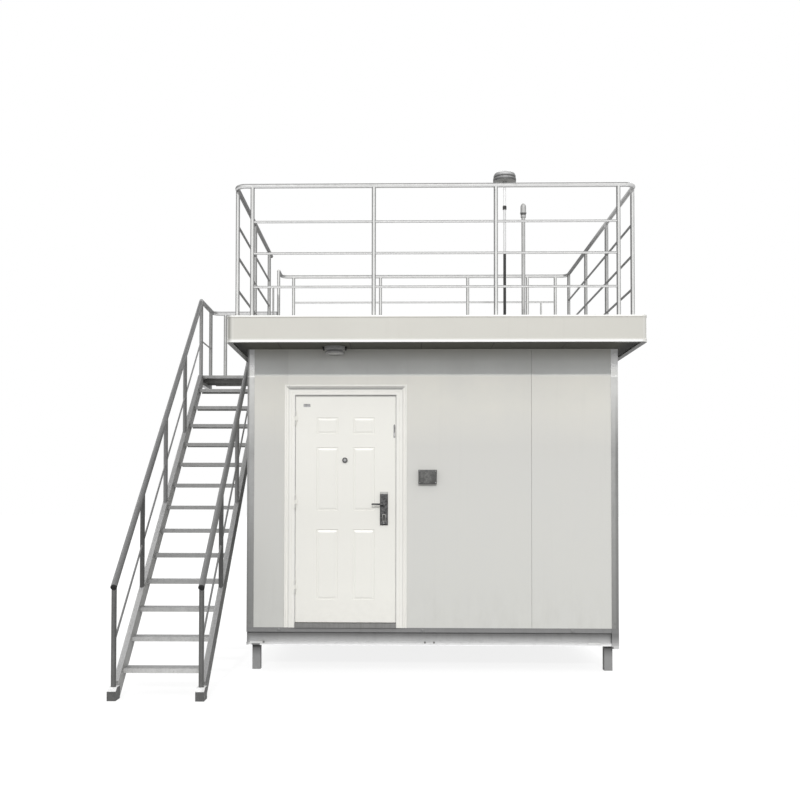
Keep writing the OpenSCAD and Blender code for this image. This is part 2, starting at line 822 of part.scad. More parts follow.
// treads: folded channels, open below
module stair_treads() {
  x0 = string_x0 + string_w / 2;
  x1 = string_x1 - string_w / 2;
  color(galv) translate(shift) turned() for (k = [0:tread_n - 1])
    translate([x0, first_y + k * going, first_h + k * rise - tread_t]) difference() {
      cube([x1 - x0, tread_d, tread_t]);
      translate([-1, tread_s, -1]) cube([x1 - x0 + 2, tread_d - 2 * tread_s, tread_t - tread_s + 1]);
    }
}

// the space under the tops of the stringers and the feet
module under_stringer(x) {
  y0 = hand_y + foot_l;
  y1 = landing_y;
  up = string_up + seat_gap;
  side_profile(x, foot_w, [[hand_y - foot_l, 0], [hand_y - foot_l, foot_seat], [y0, foot_seat],
    [y0, line_z(y0) + up], [y1, line_z(y1) + up], [y1, 0]]);
}

// rail and middle bar of one side of the stair, between two planes across it
module stair_rails(x, y0, y1) {
  for (r = [[hand_h, hand_d, hand_end], [hand_h - hand_mid_drop, hand_mid_d, 0]])
    intersection() {
      bar([x, hand_y - r[2], line_z(hand_y - r[2]) + r[0]],
        [x, landing_y, line_z(landing_y) + r[0]], r[1]);
      block([x - hand_d, y0, 0], [x + hand_d, y1, 2 * guard_z]);
    }
}

// one side's handrail up to the plane end_y, open at its lower end, on four posts
module handrail(x, end_y) {
  bore_y = hand_y - hand_end;
  difference() {
    union() {
      stair_rails(x, hand_y - 80, end_y);
      for (k = [0:3]) {
        y = hand_y + k * post_pitch;
        bar([x, y, 0], [x, y, line_z(y) + hand_h], hand_post_d);
      }
    }
    under_stringer(x);
    bar([x, bore_y - 60, line_z(bore_y - 60) + hand_h],
      [x, bore_y + 40, line_z(bore_y + 40) + hand_h], hand_d - 2 * tube_t);
  }
}

module handrail_left() {
  color(galv) translate(shift) turned() handrail(string_x0, join_y);
}

module handrail_right() {
  color(galv) translate(shift) turned() handrail(string_x1, right_end_y);
}

// ---- landing ----

// section of a channel: web on x = 0, flanges along +X
module channel_section() {
  t = channel_t;
  polygon([[0, 0], [channel_w, 0], [channel_w, t], [t, t], [t, channel_h - t],
    [channel_w, channel_h - t], [channel_w, channel_h], [0, channel_h]]);
}

// side channels, two cross angles and the pads that meet the fascia
module landing_frame() {
  x0 = string_x0 - string_w / 2;
  x1 = string_x1 + string_w / 2;
  z1 = landing_h - tread_s;
  z0 = z1 - channel_h;
  angle = 40;
  pad = 60;
  color(galv) translate(shift) {
    translate([x0, landing_end, z0]) rotate([90, 0, 0]) linear_extrude(landing_l) channel_section();
    translate([x1, landing_y, z0]) rotate([90, 0, 180]) linear_extrude(landing_l) channel_section();
    for (k = [1, 2]) translate([x0 + channel_t, landing_y + k * landing_l / 3, z0 + channel_t])
      rotate([90, 0, 90]) linear_extrude(x1 - x0 - 2 * channel_t)
        polygon([[0, channel_h - 2 * channel_t], [0, channel_h - 2 * channel_t - angle],
          [4, channel_h - 2 * channel_t - angle], [4, channel_h - 2 * channel_t - 4],
          [angle, channel_h - 2 * channel_t - 4], [angle, channel_h - 2 * channel_t]]);
    for (y = [landing_y + pad, landing_end - 2 * pad])
      block([x1, y, fascia_z + fascia_toe + 0.5], [roof_x0, y + pad, z1]);
  }
}

// the landing's plate with a folded lip at the front and at the back
module landing_deck() {
  x0 = string_x0 - string_w / 2;
  x1 = string_x1 + string_w / 2;
  z1 = landing_h - tread_s;
  color(galv) translate(shift) {
    block([x0, landing_y, z1], [roof_x0 - fit, landing_end, landing_h]);
    block([x0 + channel_w + fit, landing_y, landing_h - lip_front],
      [x1 - channel_w - fit, landing_y + tread_s, z1]);
    block([x0 + channel_w + fit, landing_end - tread_s, landing_h - lip_back],
      [x1 - channel_w - fit, landing_end, z1]);
  }
}

module landing_post(x, y) {
  bar([x, y, landing_h], [x, y, guard_z], hand_post_d);
}

// guard along the left side and the back of the landing, bent at its corner
module landing_guard() {
  x = string_x0;
  yb = guard_back;
  mid_z = guard_z - hand_mid_drop;
  color(galv) translate(shift) {
    landing_post(x, landing_y);
    landing_post(x, yb - land_post_in);
    landing_post(x + land_post_in, yb);
    stair_rails(x, join_y + seat_gap, landing_y);
    translate([x, landing_y, guard_z]) sphere(d = hand_d + 3);
    bar([x, landing_y, guard_z], [x, yb - bend_r, guard_z], hand_d);
    translate([x + bend_r, yb - bend_r, guard_z]) rotate(90)
      rotate_extrude(angle = 90) translate([bend_r, 0]) circle(d = hand_d);
    bar([x + bend_r, yb, guard_z], [gx0 - rail_post_d / 2 - seat_gap, yb, guard_z], hand_d);
    bar([x, landing_y, mid_z], [x, yb - land_post_in, mid_z], hand_mid_d);
  }
}

// arms that carry the landing on the wall
module landing_brackets() {
  arm = 40;
  z1 = landing_h - tread_s - channel_h;
  x0 = string_x1 - string_w / 2;
  color(galv) translate(shift) for (y = [landing_y + 5, landing_end - 225]) {
    block([x0, y, z1 - arm], [face_y, y + arm, z1]);
    block([-8, y - 20, z1 - 150], [face_y, y + arm + 20, z1 + 20]);
  }
}

legs();
base_front();
base_back();
base_left();
base_right();
floor_panel();
corner_posts();
front_wall_left();
front_wall_over_door();
front_wall_middle();
front_wall_right();
left_wall();
right_wall();
back_wall();
ceiling();
soffit();
roof_slab();
fascia_front();
fascia_back();
fascia_left();
fascia_right();
fascia_corners();
door_frame();
door_sill();
hinge_knuckles_frame();
door_leaf();
hinge_knuckles_leaf();
lock_plate();
peephole();
door_lever();
wall_box();
soffit_lamp();
front_railing();
right_railing();
back_railing();
left_railing();
rear_left_railing();
flue();
vent_pipe();
stair_feet();
stringer_left();
stringer_right();
stair_treads();
handrail_left();
handrail_right();
landing_frame();
landing_deck();
landing_guard();
landing_brackets();
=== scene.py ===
# %% [markdown]
# # A steel site cabin with a roof deck and an outside stair
# The cabin's shapes come from its CAD model, which is loaded as a fixed frame. This lesson gives each of
# them a finish built from nodes, adds the small parts a welder or fitter would add, and lights it all.
# Everything is in metres. Places are read from the CAD model's own boxes and corners where one is near, and
# the rest are distances from the cabin's front left corner.

# %% Load the cabin
import json
from math import radians
import bmesh
import bpy
from mathutils import Matrix, Vector

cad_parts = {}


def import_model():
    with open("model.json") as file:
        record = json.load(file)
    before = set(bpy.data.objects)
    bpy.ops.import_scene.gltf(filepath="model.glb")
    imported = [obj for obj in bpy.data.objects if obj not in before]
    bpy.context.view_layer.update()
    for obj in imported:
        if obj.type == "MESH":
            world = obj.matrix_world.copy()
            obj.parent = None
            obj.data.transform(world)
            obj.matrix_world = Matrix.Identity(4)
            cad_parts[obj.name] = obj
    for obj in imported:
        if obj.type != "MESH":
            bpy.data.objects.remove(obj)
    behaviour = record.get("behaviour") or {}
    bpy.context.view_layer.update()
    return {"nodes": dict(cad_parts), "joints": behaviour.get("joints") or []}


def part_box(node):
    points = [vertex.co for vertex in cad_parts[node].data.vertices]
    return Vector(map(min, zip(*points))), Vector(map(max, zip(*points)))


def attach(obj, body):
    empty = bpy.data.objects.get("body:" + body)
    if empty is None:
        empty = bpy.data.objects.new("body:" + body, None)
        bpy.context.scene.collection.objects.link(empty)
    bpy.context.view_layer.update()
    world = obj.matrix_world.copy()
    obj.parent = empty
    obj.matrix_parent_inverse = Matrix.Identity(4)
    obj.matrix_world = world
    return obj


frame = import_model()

# %% [markdown]
# ## A place to measure from
# The CAD model is centred on its whole footprint, which is awkward to work with. A builder measures from the
# cabin's front left corner on the ground, so `house` turns such a measure into a point of the frame.

# %% The front left corner
corner, far_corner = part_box("corner_posts")
WIDTH = far_corner.x - corner.x
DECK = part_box("roof_slab")[1].z
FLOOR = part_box("base_front")[1].z
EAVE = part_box("soffit")[0].z
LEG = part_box("base_front")[0].z
QUARTER, HALF = radians(90), radians(180)

def house(x, y, z):
    return Vector((corner.x + x, corner.y + y, z))

def points_of(node):
    return [v.co for v in frame["nodes"][node].data.vertices]

print("front left corner", tuple(round(c, 3) for c in corner))

# %% [markdown]
# ## The camera
# The camera stands 8.5 m in front, 1.4 m above the ground, with a lens of 44 mm on a sensor 36 mm wide. The
# lens is shifted, as on a camera for buildings, so that the walls stay upright while the cabin sits low in
# the frame. The camera is turned by about a degree.

# %% The camera
add_to_scene = bpy.context.scene.collection.objects.link
eye = bpy.data.cameras.new("eye")
eye.lens, eye.sensor_width = 44.306, 36
eye.shift_x, eye.shift_y = 0.0286, 0.1026
eye.clip_end = 1000
camera = bpy.data.objects.new("camera", eye)
add_to_scene(camera)
camera.location = house(1.2968, -8.4829, 1.4103)
PAN, TILT, ROLL = 0.0204, 0.0243, -0.0018
turn = Matrix.Rotation(PAN, 3, "Z") @ Matrix.Rotation(TILT, 3, "X") @ Matrix.Rotation(ROLL, 3, "Y")
camera.rotation_euler = (turn @ Matrix.Rotation(QUARTER, 3, "X")).to_euler()
bpy.context.scene.camera = camera
print("camera at", tuple(round(c, 3) for c in camera.location))

# %% [markdown]
# ## Sums in the shader
# A shader is a sum: a colour plus some dirt, times some wear. Written as nodes it is long, so `Wire` wraps a
# node's output and lets Python's own signs add the Math nodes. The reflected signs make `1 - mask` work.
# `over` and `band` turn a height or a pattern into a mask with one or two soft edges.

# %% Wires with signs
class Wire:
    def __init__(self, board, socket):
        self.board, self.socket = board, socket

    def sum(self, operation, a, b=0.0, clamp=False):
        return self.board.node("ShaderNodeMath", {"operation": operation, "use_clamp": clamp}, {0: a, 1: b})

    def __add__(self, other): return self.sum("ADD", self, other)
    def __radd__(self, other): return self.sum("ADD", other, self)
    def __sub__(self, other): return self.sum("SUBTRACT", self, other)
    def __rsub__(self, other): return self.sum("SUBTRACT", other, self)
    def __mul__(self, other): return self.sum("MULTIPLY", self, other)
    def __rmul__(self, other): return self.sum("MULTIPLY", other, self)
    def __truediv__(self, other): return self.sum("DIVIDE", self, other)
    def __gt__(self, other): return self.sum("GREATER_THAN", self, other)
    def __lt__(self, other): return self.sum("LESS_THAN", self, other)
    def __abs__(self): return self.sum("ABSOLUTE", self)
    def clamped(self): return self.sum("ADD", self, 0.0, clamp=True)
    def fract(self): return self.sum("FRACT", self)

    def fade(self, low, high, start, end, shape="LINEAR"):
        return self.board.node("ShaderNodeMapRange", {"interpolation_type": shape},
                               {0: self, 1: low, 2: high, 3: start, 4: end})

    def over(self, none, full):
        """Climbs from 0 where the wire is at none to 1 where it is at full."""
        return self.fade(none, full, 0.0, 1.0)

    def band(self, low, high, soft=0.01):
        """Is 1 between low and high and fades to 0 beyond them."""
        rise = self.fade(low - soft, low + soft, 0.0, 1.0, "SMOOTHSTEP")
        return rise * self.fade(high - soft, high + soft, 1.0, 0.0, "SMOOTHSTEP")

print("a wire knows + - * / < > abs, over and band")

# %% [markdown]
# ## A finish
# Nodes sit on a board, which a material or the sky has. `node` adds one: its settings first, then the values
# or wires of its sockets. A finish is a board with a Principled shader. The few patterns that paint and zinc
# need are its methods, and they read Object coordinates, which in this frame are the cabin's own metres:
# x and y are measured from the front left corner and z from the ground.

# %% A board of nodes
class Board:
    def __init__(self, owner):
        owner.use_nodes = True
        self.nodes, self.links = owner.node_tree.nodes, owner.node_tree.links

    def node(self, kind, settings={}, sockets={}, output=0):
        made = self.nodes.new(kind)
        for name, value in settings.items():
            if name == "stops":
                ramp = made.color_ramp
                while len(ramp.elements) < len(value):
                    ramp.elements.new(1)
                for element, (place, colour) in zip(ramp.elements, value):
                    element.position = place
                    element.color = (*colour, 1)
            else:
                setattr(made, name, value)
        for name, value in sockets.items():
            self.plug(made.inputs[name], value)
        return Wire(self, made.outputs[output])

    def plug(self, socket, value):
        if isinstance(value, Wire):
            self.links.new(value.socket, socket)
        elif hasattr(value, "__len__") and len(value) == 3 and socket.type == "RGBA":
            socket.default_value = (*value, 1)
        else:
            socket.default_value = value

    def split(self, vector):
        """The three numbers of a vector, each as a wire."""
        parts = self.node("ShaderNodeSeparateXYZ", {}, {0: vector}).socket.node
        return (Wire(self, number) for number in parts.outputs)

print("a board takes any node")

# %% The finish class
class Finish(Board):
    def __init__(self, name, metallic=0.0, roughness=0.5, **constants):
        self.material = bpy.data.materials.new(name)
        super().__init__(self.material)
        self.shader = self.nodes["Principled BSDF"]
        self.set(Metallic=metallic, Roughness=roughness, **constants)
        place = self.node("ShaderNodeTexCoord", output="Object")
        self.place = self.node("ShaderNodeVectorMath", {"operation": "SUBTRACT"},
                               {0: place, 1: (corner.x, corner.y, 0)}, "Vector")
        self.x, self.y, self.z = self.split(self.place)
        self.side, self.back, self.up = self.split(self.node("ShaderNodeNewGeometry", output="Normal"))

    def set(self, **values):
        for name, value in values.items():
            self.plug(self.shader.inputs[name.replace("_", " ")], value)

    def paint(self, colour):
        self.base = colour
        self.set(Base_Color=colour)

    def blend(self, mask, a, b):
        self.paint(self.mix(mask, a, b))

    def layer(self, mask, colour):
        """Lays a colour over the ones below it, as far as the mask lets it through."""
        self.blend(mask, self.base, colour)

    def noise(self, scale, detail=2.0, roughness=0.5, stretch=(1, 1, 1)):
        where = self.node("ShaderNodeMapping", {}, {"Vector": self.place, "Scale": stretch})
        return self.node("ShaderNodeTexNoise", {}, {"Vector": where, "Scale": scale, "Detail": detail,
                                                    "Roughness": roughness})

    def ramp(self, value, *stops):
        """Turns a value into a colour. A stop is a place on the ramp and what `grey` takes."""
        stops = [(place, grey(*shade)) for place, *shade in stops]
        return self.node("ShaderNodeValToRGB", {"stops": stops}, {0: value})

    def mix(self, mask, a, b, how="MIX"):
        return self.node("ShaderNodeMix", {"data_type": "RGBA", "blend_type": how, "clamp_result": True},
                         {0: mask, 6: a, 7: b}, 2)

    def faces_front(self):
        return self.back.over(-0.5, -0.9)

    def bump(self, height, distance, strength=1.0, under=None):
        sockets = {"Height": height, "Distance": distance, "Strength": strength}
        if under:
            sockets["Normal"] = under
        return self.node("ShaderNodeBump", {}, sockets)

def give(finish, *names):
    for name in names:
        mesh = frame["nodes"][name].data
        mesh.materials.clear()
        mesh.materials.append(finish.material)

def grey(value, blue=1, green=1, red=1):
    """A painter's grey from 0 to 255, as it is seen, turned into the light it sends back."""
    v = value / 255
    v = v / 12.92 if v <= 0.04045 else ((v + 0.055) / 1.055) ** 2.4
    return (v * red, v * green, v * blue)

print("finishes can be mixed")

# %% [markdown]
# ## Wall panels
# A wall is of sandwich panels: foam between two sheets of coil-coated steel. The paint is off-white, with a
# fine orange peel, slow waves where the sheet follows the foam, and a little splash dirt at its foot. The
# waves and peel go to the bump, the dirt to colour and roughness. A ramp on height paints light and shade
# into the
# colour: painted shade in a strip under the eave, and painted light in the band of the eave's shadow and on
# the upper wall below it.

# %% Wall panels
WARM = (0.92, 1.0, 1.02)

def wall_finish(name, shade):
    wall = Finish(name, roughness=0.42, Specular_IOR_Level=0.35)
    waves = wall.noise(1.1, 1.0, stretch=(1, 1, 0.35))
    cloud = wall.noise(2.3, 4.0, 0.62)
    grain = wall.noise(55, 3.0, 0.7)
    splash = wall.z.over(FLOOR + 0.45, FLOOR) * wall.noise(9, 5.0, 0.7, (1, 1, 0.4)).over(0.42, 0.7)
    streak = wall.noise(14, 3.0, 0.6, (1, 1, 0.06)).over(0.56, 0.8)
    lower = wall.z.over(EAVE, FLOOR)
    # Painted shade in a strip under the eave, painted light in the eave's shadow and on the upper wall.
    wall.paint(wall.ramp(lower, (0.0, shade - 12, *WARM), (0.045, shade + 18, 0.98, 1.01),
                         (0.089, shade + 21, 1, 1.02), (0.099, shade + 8, *WARM),
                         (0.2, shade + 5, *WARM), (0.35, shade - 7, 0.95, 1, 1.01),
                         (1.0, shade - 6, 0.95)))
    wall.layer(cloud.over(0.35, 0.7) * 0.35, grey(shade - 8, 0.97))
    wall.layer(streak * 0.06, grey(shade - 40, 0.9, 0.98))
    wall.layer(splash * 0.12, grey(shade - 60, 0.86, 0.96))
    wall.set(Roughness=0.36 + 0.14 * grain + 0.2 * splash)
    peel = wall.bump(grain, 0.0004, 0.5)
    wall.set(Normal=wall.bump(waves, 0.006, 0.35, peel))
    return wall

panel_paint = wall_finish("panel_paint", 213)
give(panel_paint, "front_wall_over_door", "front_wall_middle", "front_wall_right",
     "left_wall", "right_wall", "back_wall")
give(wall_finish("left_panel_paint", 207), "front_wall_left")
print("wall panels painted")

# %% [markdown]
# ## Door and casing
# The leaf and its casing are pressed steel with a sprayed gloss coat, whiter than the walls. Hands and shoes
# leave a soft grey along the foot and in patches. Shade is painted into the casing's grooves, its head and
# its rebate, and along the leaf's top edge. An ambient look at the shape could find these, but distances from
# the casing's own edges are simpler and bake well.

# %% Door paint
def door_finish(name, shade, tint):
    door = Finish(name, roughness=0.3, Specular_IOR_Level=0.45)
    cloud = door.noise(3.1, 4.0, 0.6)
    peel = door.noise(95, 2.0, 0.6)
    foot = door.z.over(FLOOR + 0.32, FLOOR + 0.04) * door.noise(17, 5.0, 0.7).over(0.4, 0.72)
    rub = door.noise(33, 4.0, 0.65, (1, 1, 0.3))
    door.blend(door.z.over(FLOOR + 1.0, FLOOR + 2.0), grey(shade, *tint), grey(shade + 9, *tint))
    door.layer(door.z.over(FLOOR + 0.9, FLOOR + 0.3), grey(shade + 5, *tint))
    door.layer(cloud.over(0.3, 0.75) * 0.25, grey(shade - 7, *tint))
    door.layer(foot * 0.12, grey(shade - 50, 0.88, 0.96))
    door.layer(rub.over(0.62, 0.8) * 0.12, grey(shade - 30, 0.92, 0.97))
    door.set(Roughness=0.24 + 0.16 * cloud + 0.2 * foot)
    door.set(Normal=door.bump(door.noise(1.6, 1.0), 0.004, 0.25, door.bump(peel, 0.0003, 0.4)))
    return door

leaf = door_finish("leaf_paint", 229, (0.94, 1.0, 1.012))
casing = door_finish("casing_paint", 231, (0.945, 1.0, 1.012))
frame_low, frame_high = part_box("door_frame")
from_head = frame_high.z - casing.z
left_of = casing.x - (frame_low.x - corner.x)
right_of = (frame_high.x - corner.x) - casing.x
# Painted shadow under the head's moulding, and painted shade in the rebate and in the side grooves.
shadow = from_head.band(0.019, 0.044, 0.008)
shadow = shadow * (left_of - from_head).over(-0.004, 0.004) * (right_of - from_head).over(-0.004, 0.004)
groove_shade = left_of.band(0.038, 0.046, 0.005) + right_of.band(0.030, 0.040, 0.005)
rebate_shade = from_head.over(0.078, 0.086) * left_of.over(0.085, 0.095) * right_of.over(0.085, 0.095)
casing.layer(shadow * 0.8, grey(136, 0.97))
casing.layer(rebate_shade * 0.5, grey(168, 0.97))
casing.layer(groove_shade.clamped() * (1 - shadow) * 0.3, grey(196, 0.95, 0.99))
leaf_low, leaf_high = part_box("door_leaf")
# Painted shade along the leaf's top edge, under the casing.
leaf.layer(leaf.z.over(leaf_high.z - 0.012, leaf_high.z - 0.004) * 0.6, grey(150, 0.97))
give(leaf, "door_leaf", "hinge_knuckles_leaf")
give(casing, "door_frame", "hinge_knuckles_frame")
print("door painted")

# %% [markdown]
# ## Roof edge and eave
# The fascia is folded sheet, painted like the walls. Its two folded lips catch the light and its rounded ends
# turn away from it, so painted highlights and painted shade change the colour with height and with the
# distance from either end, and its face that looks down gets painted shade. The soffit under the eave is a
# dull sheet with a seam at every strip, painted dark as shade, and darker still as shade beyond the walls'
# ends.

# %% Fascia
RIGHT_END = 3.2
fascia = Finish("fascia_paint", roughness=0.4, Specular_IOR_Level=0.4)
low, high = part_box("fascia_front")
from_left = fascia.x - (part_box("fascia_corners")[0].x - corner.x)
from_right = (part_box("fascia_corners")[1].x - corner.x) - fascia.x
cloud = fascia.noise(2.7, 4.0, 0.6, (0.6, 0.6, 1))
drip = fascia.noise(21, 4.0, 0.65, (1, 1, 0.05)).over(0.58, 0.8)
tip = (from_right.over(0.05, 0.035) + from_left.over(0.06, 0.02)).clamped()
lower_lip_highlight = fascia.z.over(low.z + 0.028, low.z + 0.013) * (1 - tip * 0.55)
top_lip_highlight = fascia.z.over(high.z - 0.014, high.z - 0.006) * (1 - tip * 0.7)
front = fascia.faces_front()
fascia.blend(cloud.over(0.35, 0.7) * 0.5, grey(202, *WARM), grey(197, *WARM))
fascia.layer(drip * 0.12, grey(172, 0.9, 0.98))
# Painted shade on the rounded left end, a painted highlight just inside it, and a painted highlight at the
# right end.
fascia.layer(from_left.over(0.052, 0.010) * front, grey(128, 0.95))
fascia.layer(from_left.over(0.034, 0.014) * front * 0.75, grey(122, 0.97))
fascia.layer(from_left.band(0.036, 0.062, 0.006) * front * 0.15, grey(232, 0.96))
fascia.layer(from_right.over(0.044, 0.036) * front * 0.35, grey(226, 0.96))
# Painted highlights on the lower and the top lip.
fascia.layer(lower_lip_highlight, grey(248, 0.98))
fascia.layer(top_lip_highlight, grey(254, 0.98))
# Painted shade on the very edge of the right end.
fascia.layer(from_right.over(0.018, 0.006) * front * 0.75, grey(138, 0.96))
# Painted shade on the flange that faces down, darker still beyond the right end.
flange_shade = fascia.up.over(-0.4, -0.8) * fascia.z.over(high.z - 0.05, low.z + 0.1)
fascia.layer(flange_shade, grey(80, 0.88, 0.98))
fascia.layer(flange_shade * fascia.x.over(RIGHT_END - 0.02, RIGHT_END + 0.02) * 0.9, grey(16))
fascia.set(Roughness=0.34 + 0.16 * cloud)
peel = fascia.bump(fascia.noise(60, 3.0), 0.0004, 0.4)
fascia.set(Normal=fascia.bump(fascia.noise(1.3, 1.0), 0.006, 0.3, peel))
give(fascia, "fascia_front", "fascia_back", "fascia_left", "fascia_right", "fascia_corners")
print("fascia painted from", round(low.z, 3), "to", round(high.z, 3))

# %% Soffit
soffit = Finish("soffit_sheet", roughness=0.7, Specular_IOR_Level=0.2)
dust = soffit.noise(6, 5.0, 0.65)
STRIP_WIDTH = 0.6
seams = abs((soffit.x / STRIP_WIDTH).fract() - 0.5).band(-0.01, 0.006, 0.002)
half_span = WIDTH / 2
beyond_walls_shade = abs(soffit.x - half_span).over(half_span - 0.06, half_span + 0.04)
# The soffit's dark grey is painted shade with dust in it, and it is darker still as shade beyond the walls.
soffit.blend(dust, grey(79, 0.82, 0.98), grey(95, 0.84, 0.98))
soffit.layer(beyond_walls_shade * 0.95, grey(24, 0.86, 0.98))
soffit.layer(seams * 0.6, grey(40))
soffit.set(Roughness=0.6 + 0.25 * dust, Normal=soffit.bump(1 - seams, 0.002, 0.6))
give(soffit, "soffit")
print("a seam every", STRIP_WIDTH)

# %% [markdown]
# ## Ceiling, deck and floor
# The ceiling is a white sheet. The deck is bare and dull, with darker stains where puddles dry. The floor is
# of boards whose grain is noise stretched along them: y over the width of a board counts the boards, and the
# fraction that is left over is near a half on each joint.

# %% Ceiling, deck and floor
ceiling = Finish("ceiling_paint", roughness=0.6)
dust = ceiling.noise(4, 4.0)
ceiling.blend(dust, grey(226), grey(216, *WARM))
ceiling.set(Roughness=0.5 + 0.2 * dust, Normal=ceiling.bump(ceiling.noise(70, 2.0), 0.0004, 0.4))
give(ceiling, "ceiling")

deck = Finish("deck_sheet", metallic=0.2, roughness=0.6)
wear = deck.noise(3.3, 6.0, 0.7)
puddle = deck.noise(0.9, 3.0, 0.6).over(0.5, 0.62)
deck.blend(wear.over(0.3, 0.7), grey(150, 0.98), grey(174, 0.97))
deck.layer(puddle * 0.35, grey(120, 0.88, 0.96))
deck.set(Roughness=0.45 + 0.3 * wear, Normal=deck.bump(deck.noise(40, 3.0), 0.0006, 0.5))
give(deck, "roof_slab")

floor_board = Finish("floor_board", roughness=0.5)
grain = floor_board.noise(5, 6.0, 0.65, (1, 8, 1))
BOARD_WIDTH = 0.305
boards = abs((floor_board.y / BOARD_WIDTH).fract() - 0.5).band(-0.01, 0.004, 0.002)
floor_board.paint(floor_board.ramp(grain, (0.25, 96, 0.86, 1, 1.1), (0.75, 140, 0.86, 1, 1.1)))
floor_board.layer(boards * 0.7, grey(50))
fibre = floor_board.bump(grain, 0.0006, 0.4)
floor_board.set(Roughness=0.4 + 0.3 * grain, Normal=floor_board.bump(1 - boards, 0.001, 0.5, fibre))
give(floor_board, "floor_panel")
print("ceiling, deck and floor painted")

# %% [markdown]
# ## Galvanised steel
# Hot-dip zinc is grey, half dull and half bright, with a flower of crystals a few millimetres wide called
# spangle. Voronoi cells are that flower: each cell has its own brightness and gloss. Zinc is brighter on the
# roof's rails and a darker grey on the stair and posts, with runs and scuffs.

# %% Zinc
ZINC_TINT = 0.985
HIGH_RAILS = 4.0

def zinc(name, bright, dark, spangle=70, metallic=0.35, runs=0.25):
    steel = Finish(name, metallic=metallic)
    cells = steel.node("ShaderNodeTexVoronoi", {}, {"Vector": steel.place, "Scale": spangle}, "Color")
    flower = steel.node("ShaderNodeSeparateColor", {}, {0: cells})
    cloud = steel.noise(4.5, 5.0, 0.65)
    fine = steel.noise(38, 5.0, 0.7)
    run = steel.noise(19, 4.0, 0.7, (1, 1, 0.12)).over(0.5, 0.78)
    steel.blend(cloud.over(0.32, 0.7), grey(bright, ZINC_TINT), grey(dark, ZINC_TINT))
    steel.layer((flower - 0.5) * 0.35 + 0.15, grey(bright + 14, ZINC_TINT))
    steel.layer(run * runs, grey(dark - 34, 0.94, 0.98))
    steel.rough = 0.42 + 0.12 * flower + 0.16 * fine + 0.1 * run
    steel.set(Roughness=steel.rough)
    steel.set(Normal=steel.bump(flower, 0.0002, 0.3, steel.bump(fine, 0.0006, 0.45)))
    return steel

def painted_bar_shade(steel, dark, darkest):
    """Paints shade on a round bar's flanks and crown, light on its underside, and shade all along if it runs
    back.
    """
    flank = abs(steel.side).over(0.4, 0.82)
    left_flank = steel.side.over(-0.3, -0.8)
    end_on = abs(steel.back).over(0.30, 0.06)
    crown = steel.up.over(0.1, 0.45)
    keel = steel.up.over(-0.2, -0.6)
    steel.layer(flank * 0.85, grey(dark))
    steel.layer(left_flank * 0.6, grey(darkest))
    steel.layer(keel * 0.9, grey(254))
    steel.layer(crown * 0.9, grey(dark + 20))
    steel.layer(end_on * 0.85, grey(dark))

print("zinc can be flat or round")

# %% Rails, legs and brackets
rail = zinc("rail_zinc", 214, 202, metallic=0.2)
painted_bar_shade(rail, 104, 70)
# Painted light lifts the painted shade on the high rails at the right, near the front.
lit_high_right = rail.x.over(RIGHT_END - 0.01, RIGHT_END + 0.01) * rail.z.over(HIGH_RAILS, HIGH_RAILS + 0.04)
rail.layer(lit_high_right * rail.y.over(1.5, 0.7) * 0.75, grey(214))
RAILINGS = ("front_railing", "right_railing", "back_railing", "left_railing", "rear_left_railing")
give(rail, *RAILINGS)

leg = zinc("leg_zinc", 134, 112, runs=0.35)
# Painted shade: the legs darken towards their tops under the beam, and along their sides.
leg.layer(0.85, leg.ramp(leg.z.over(0.0, LEG), (0.0, 140), (0.6, 140), (0.8, 120), (0.94, 94), (1.0, 58)))
leg.layer(abs(leg.side).over(0.5, 0.9) * 0.7, grey(84))
give(leg, "legs")
give(zinc("bracket_zinc", 150, 130), "landing_brackets")
print("rails, legs and brackets done")

# %% [markdown]
# ## Corner posts
# The posts are folded from thick sheet and stand in the rain. Painted light makes their upper part bright,
# brighter in the eave's shadow and white at the head, and painted shade darkens their outer edges. They grow
# greyer towards the ground, with mottled patches of white rust.

# %% Corner posts
post = zinc("post_zinc", 156, 140, spangle=45, runs=0.35)
patch = post.noise(11, 6.0, 0.72, (1, 1, 0.35)).over(0.42, 0.66)
upper_light = post.z.over(FLOOR + 1.5, EAVE - 0.32)
eave_shadow_light = post.z.over(EAVE - 0.246, EAVE - 0.226)
head = post.z.over(EAVE - 0.20, EAVE - 0.12)
left_edge_shade = post.x.over(0.020, 0.011) * post.faces_front()
right_edge_shade = post.x.over(WIDTH - 0.030, WIDTH - 0.018) * post.faces_front()
# Painted light on the upper post, brighter in the eave's shadow and white at the head.
post.layer(upper_light, grey(194, 0.975))
post.layer(eave_shadow_light, grey(212, 0.975))
post.layer(head, grey(254))
post.layer(post.z.over(FLOOR + 1.2, FLOOR + 0.1), grey(128, 0.97))
post.layer(patch * (0.35 - 0.3 * upper_light), grey(128, 0.97))
# Painted shade on the posts' outer edges.
post.layer(left_edge_shade * (0.25 + 0.5 * upper_light), grey(84))
post.layer(right_edge_shade * 0.5 * (1 - upper_light), grey(96))
post.set(Metallic=(0.35 + 0.65 * eave_shadow_light) * (1 - 0.9 * head), Roughness=post.rough * (1 - 0.7 * eave_shadow_light))
give(post, "corner_posts")
print("posts done")

# %% [markdown]
# ## Base beams
# A base beam is a folded C. A colour ramp on Z paints light and shade on it: its upper lip is dull, and its
# recess goes from painted shade under the lip to a bottom edge painted white as a highlight. Painted shade
# marks where the legs' tops meet it, and it is darker at both ends.

# %% Base beams
beam = zinc("beam_zinc", 150, 132, spangle=50, runs=0.2)
share = beam.z.over(LEG, FLOOR)
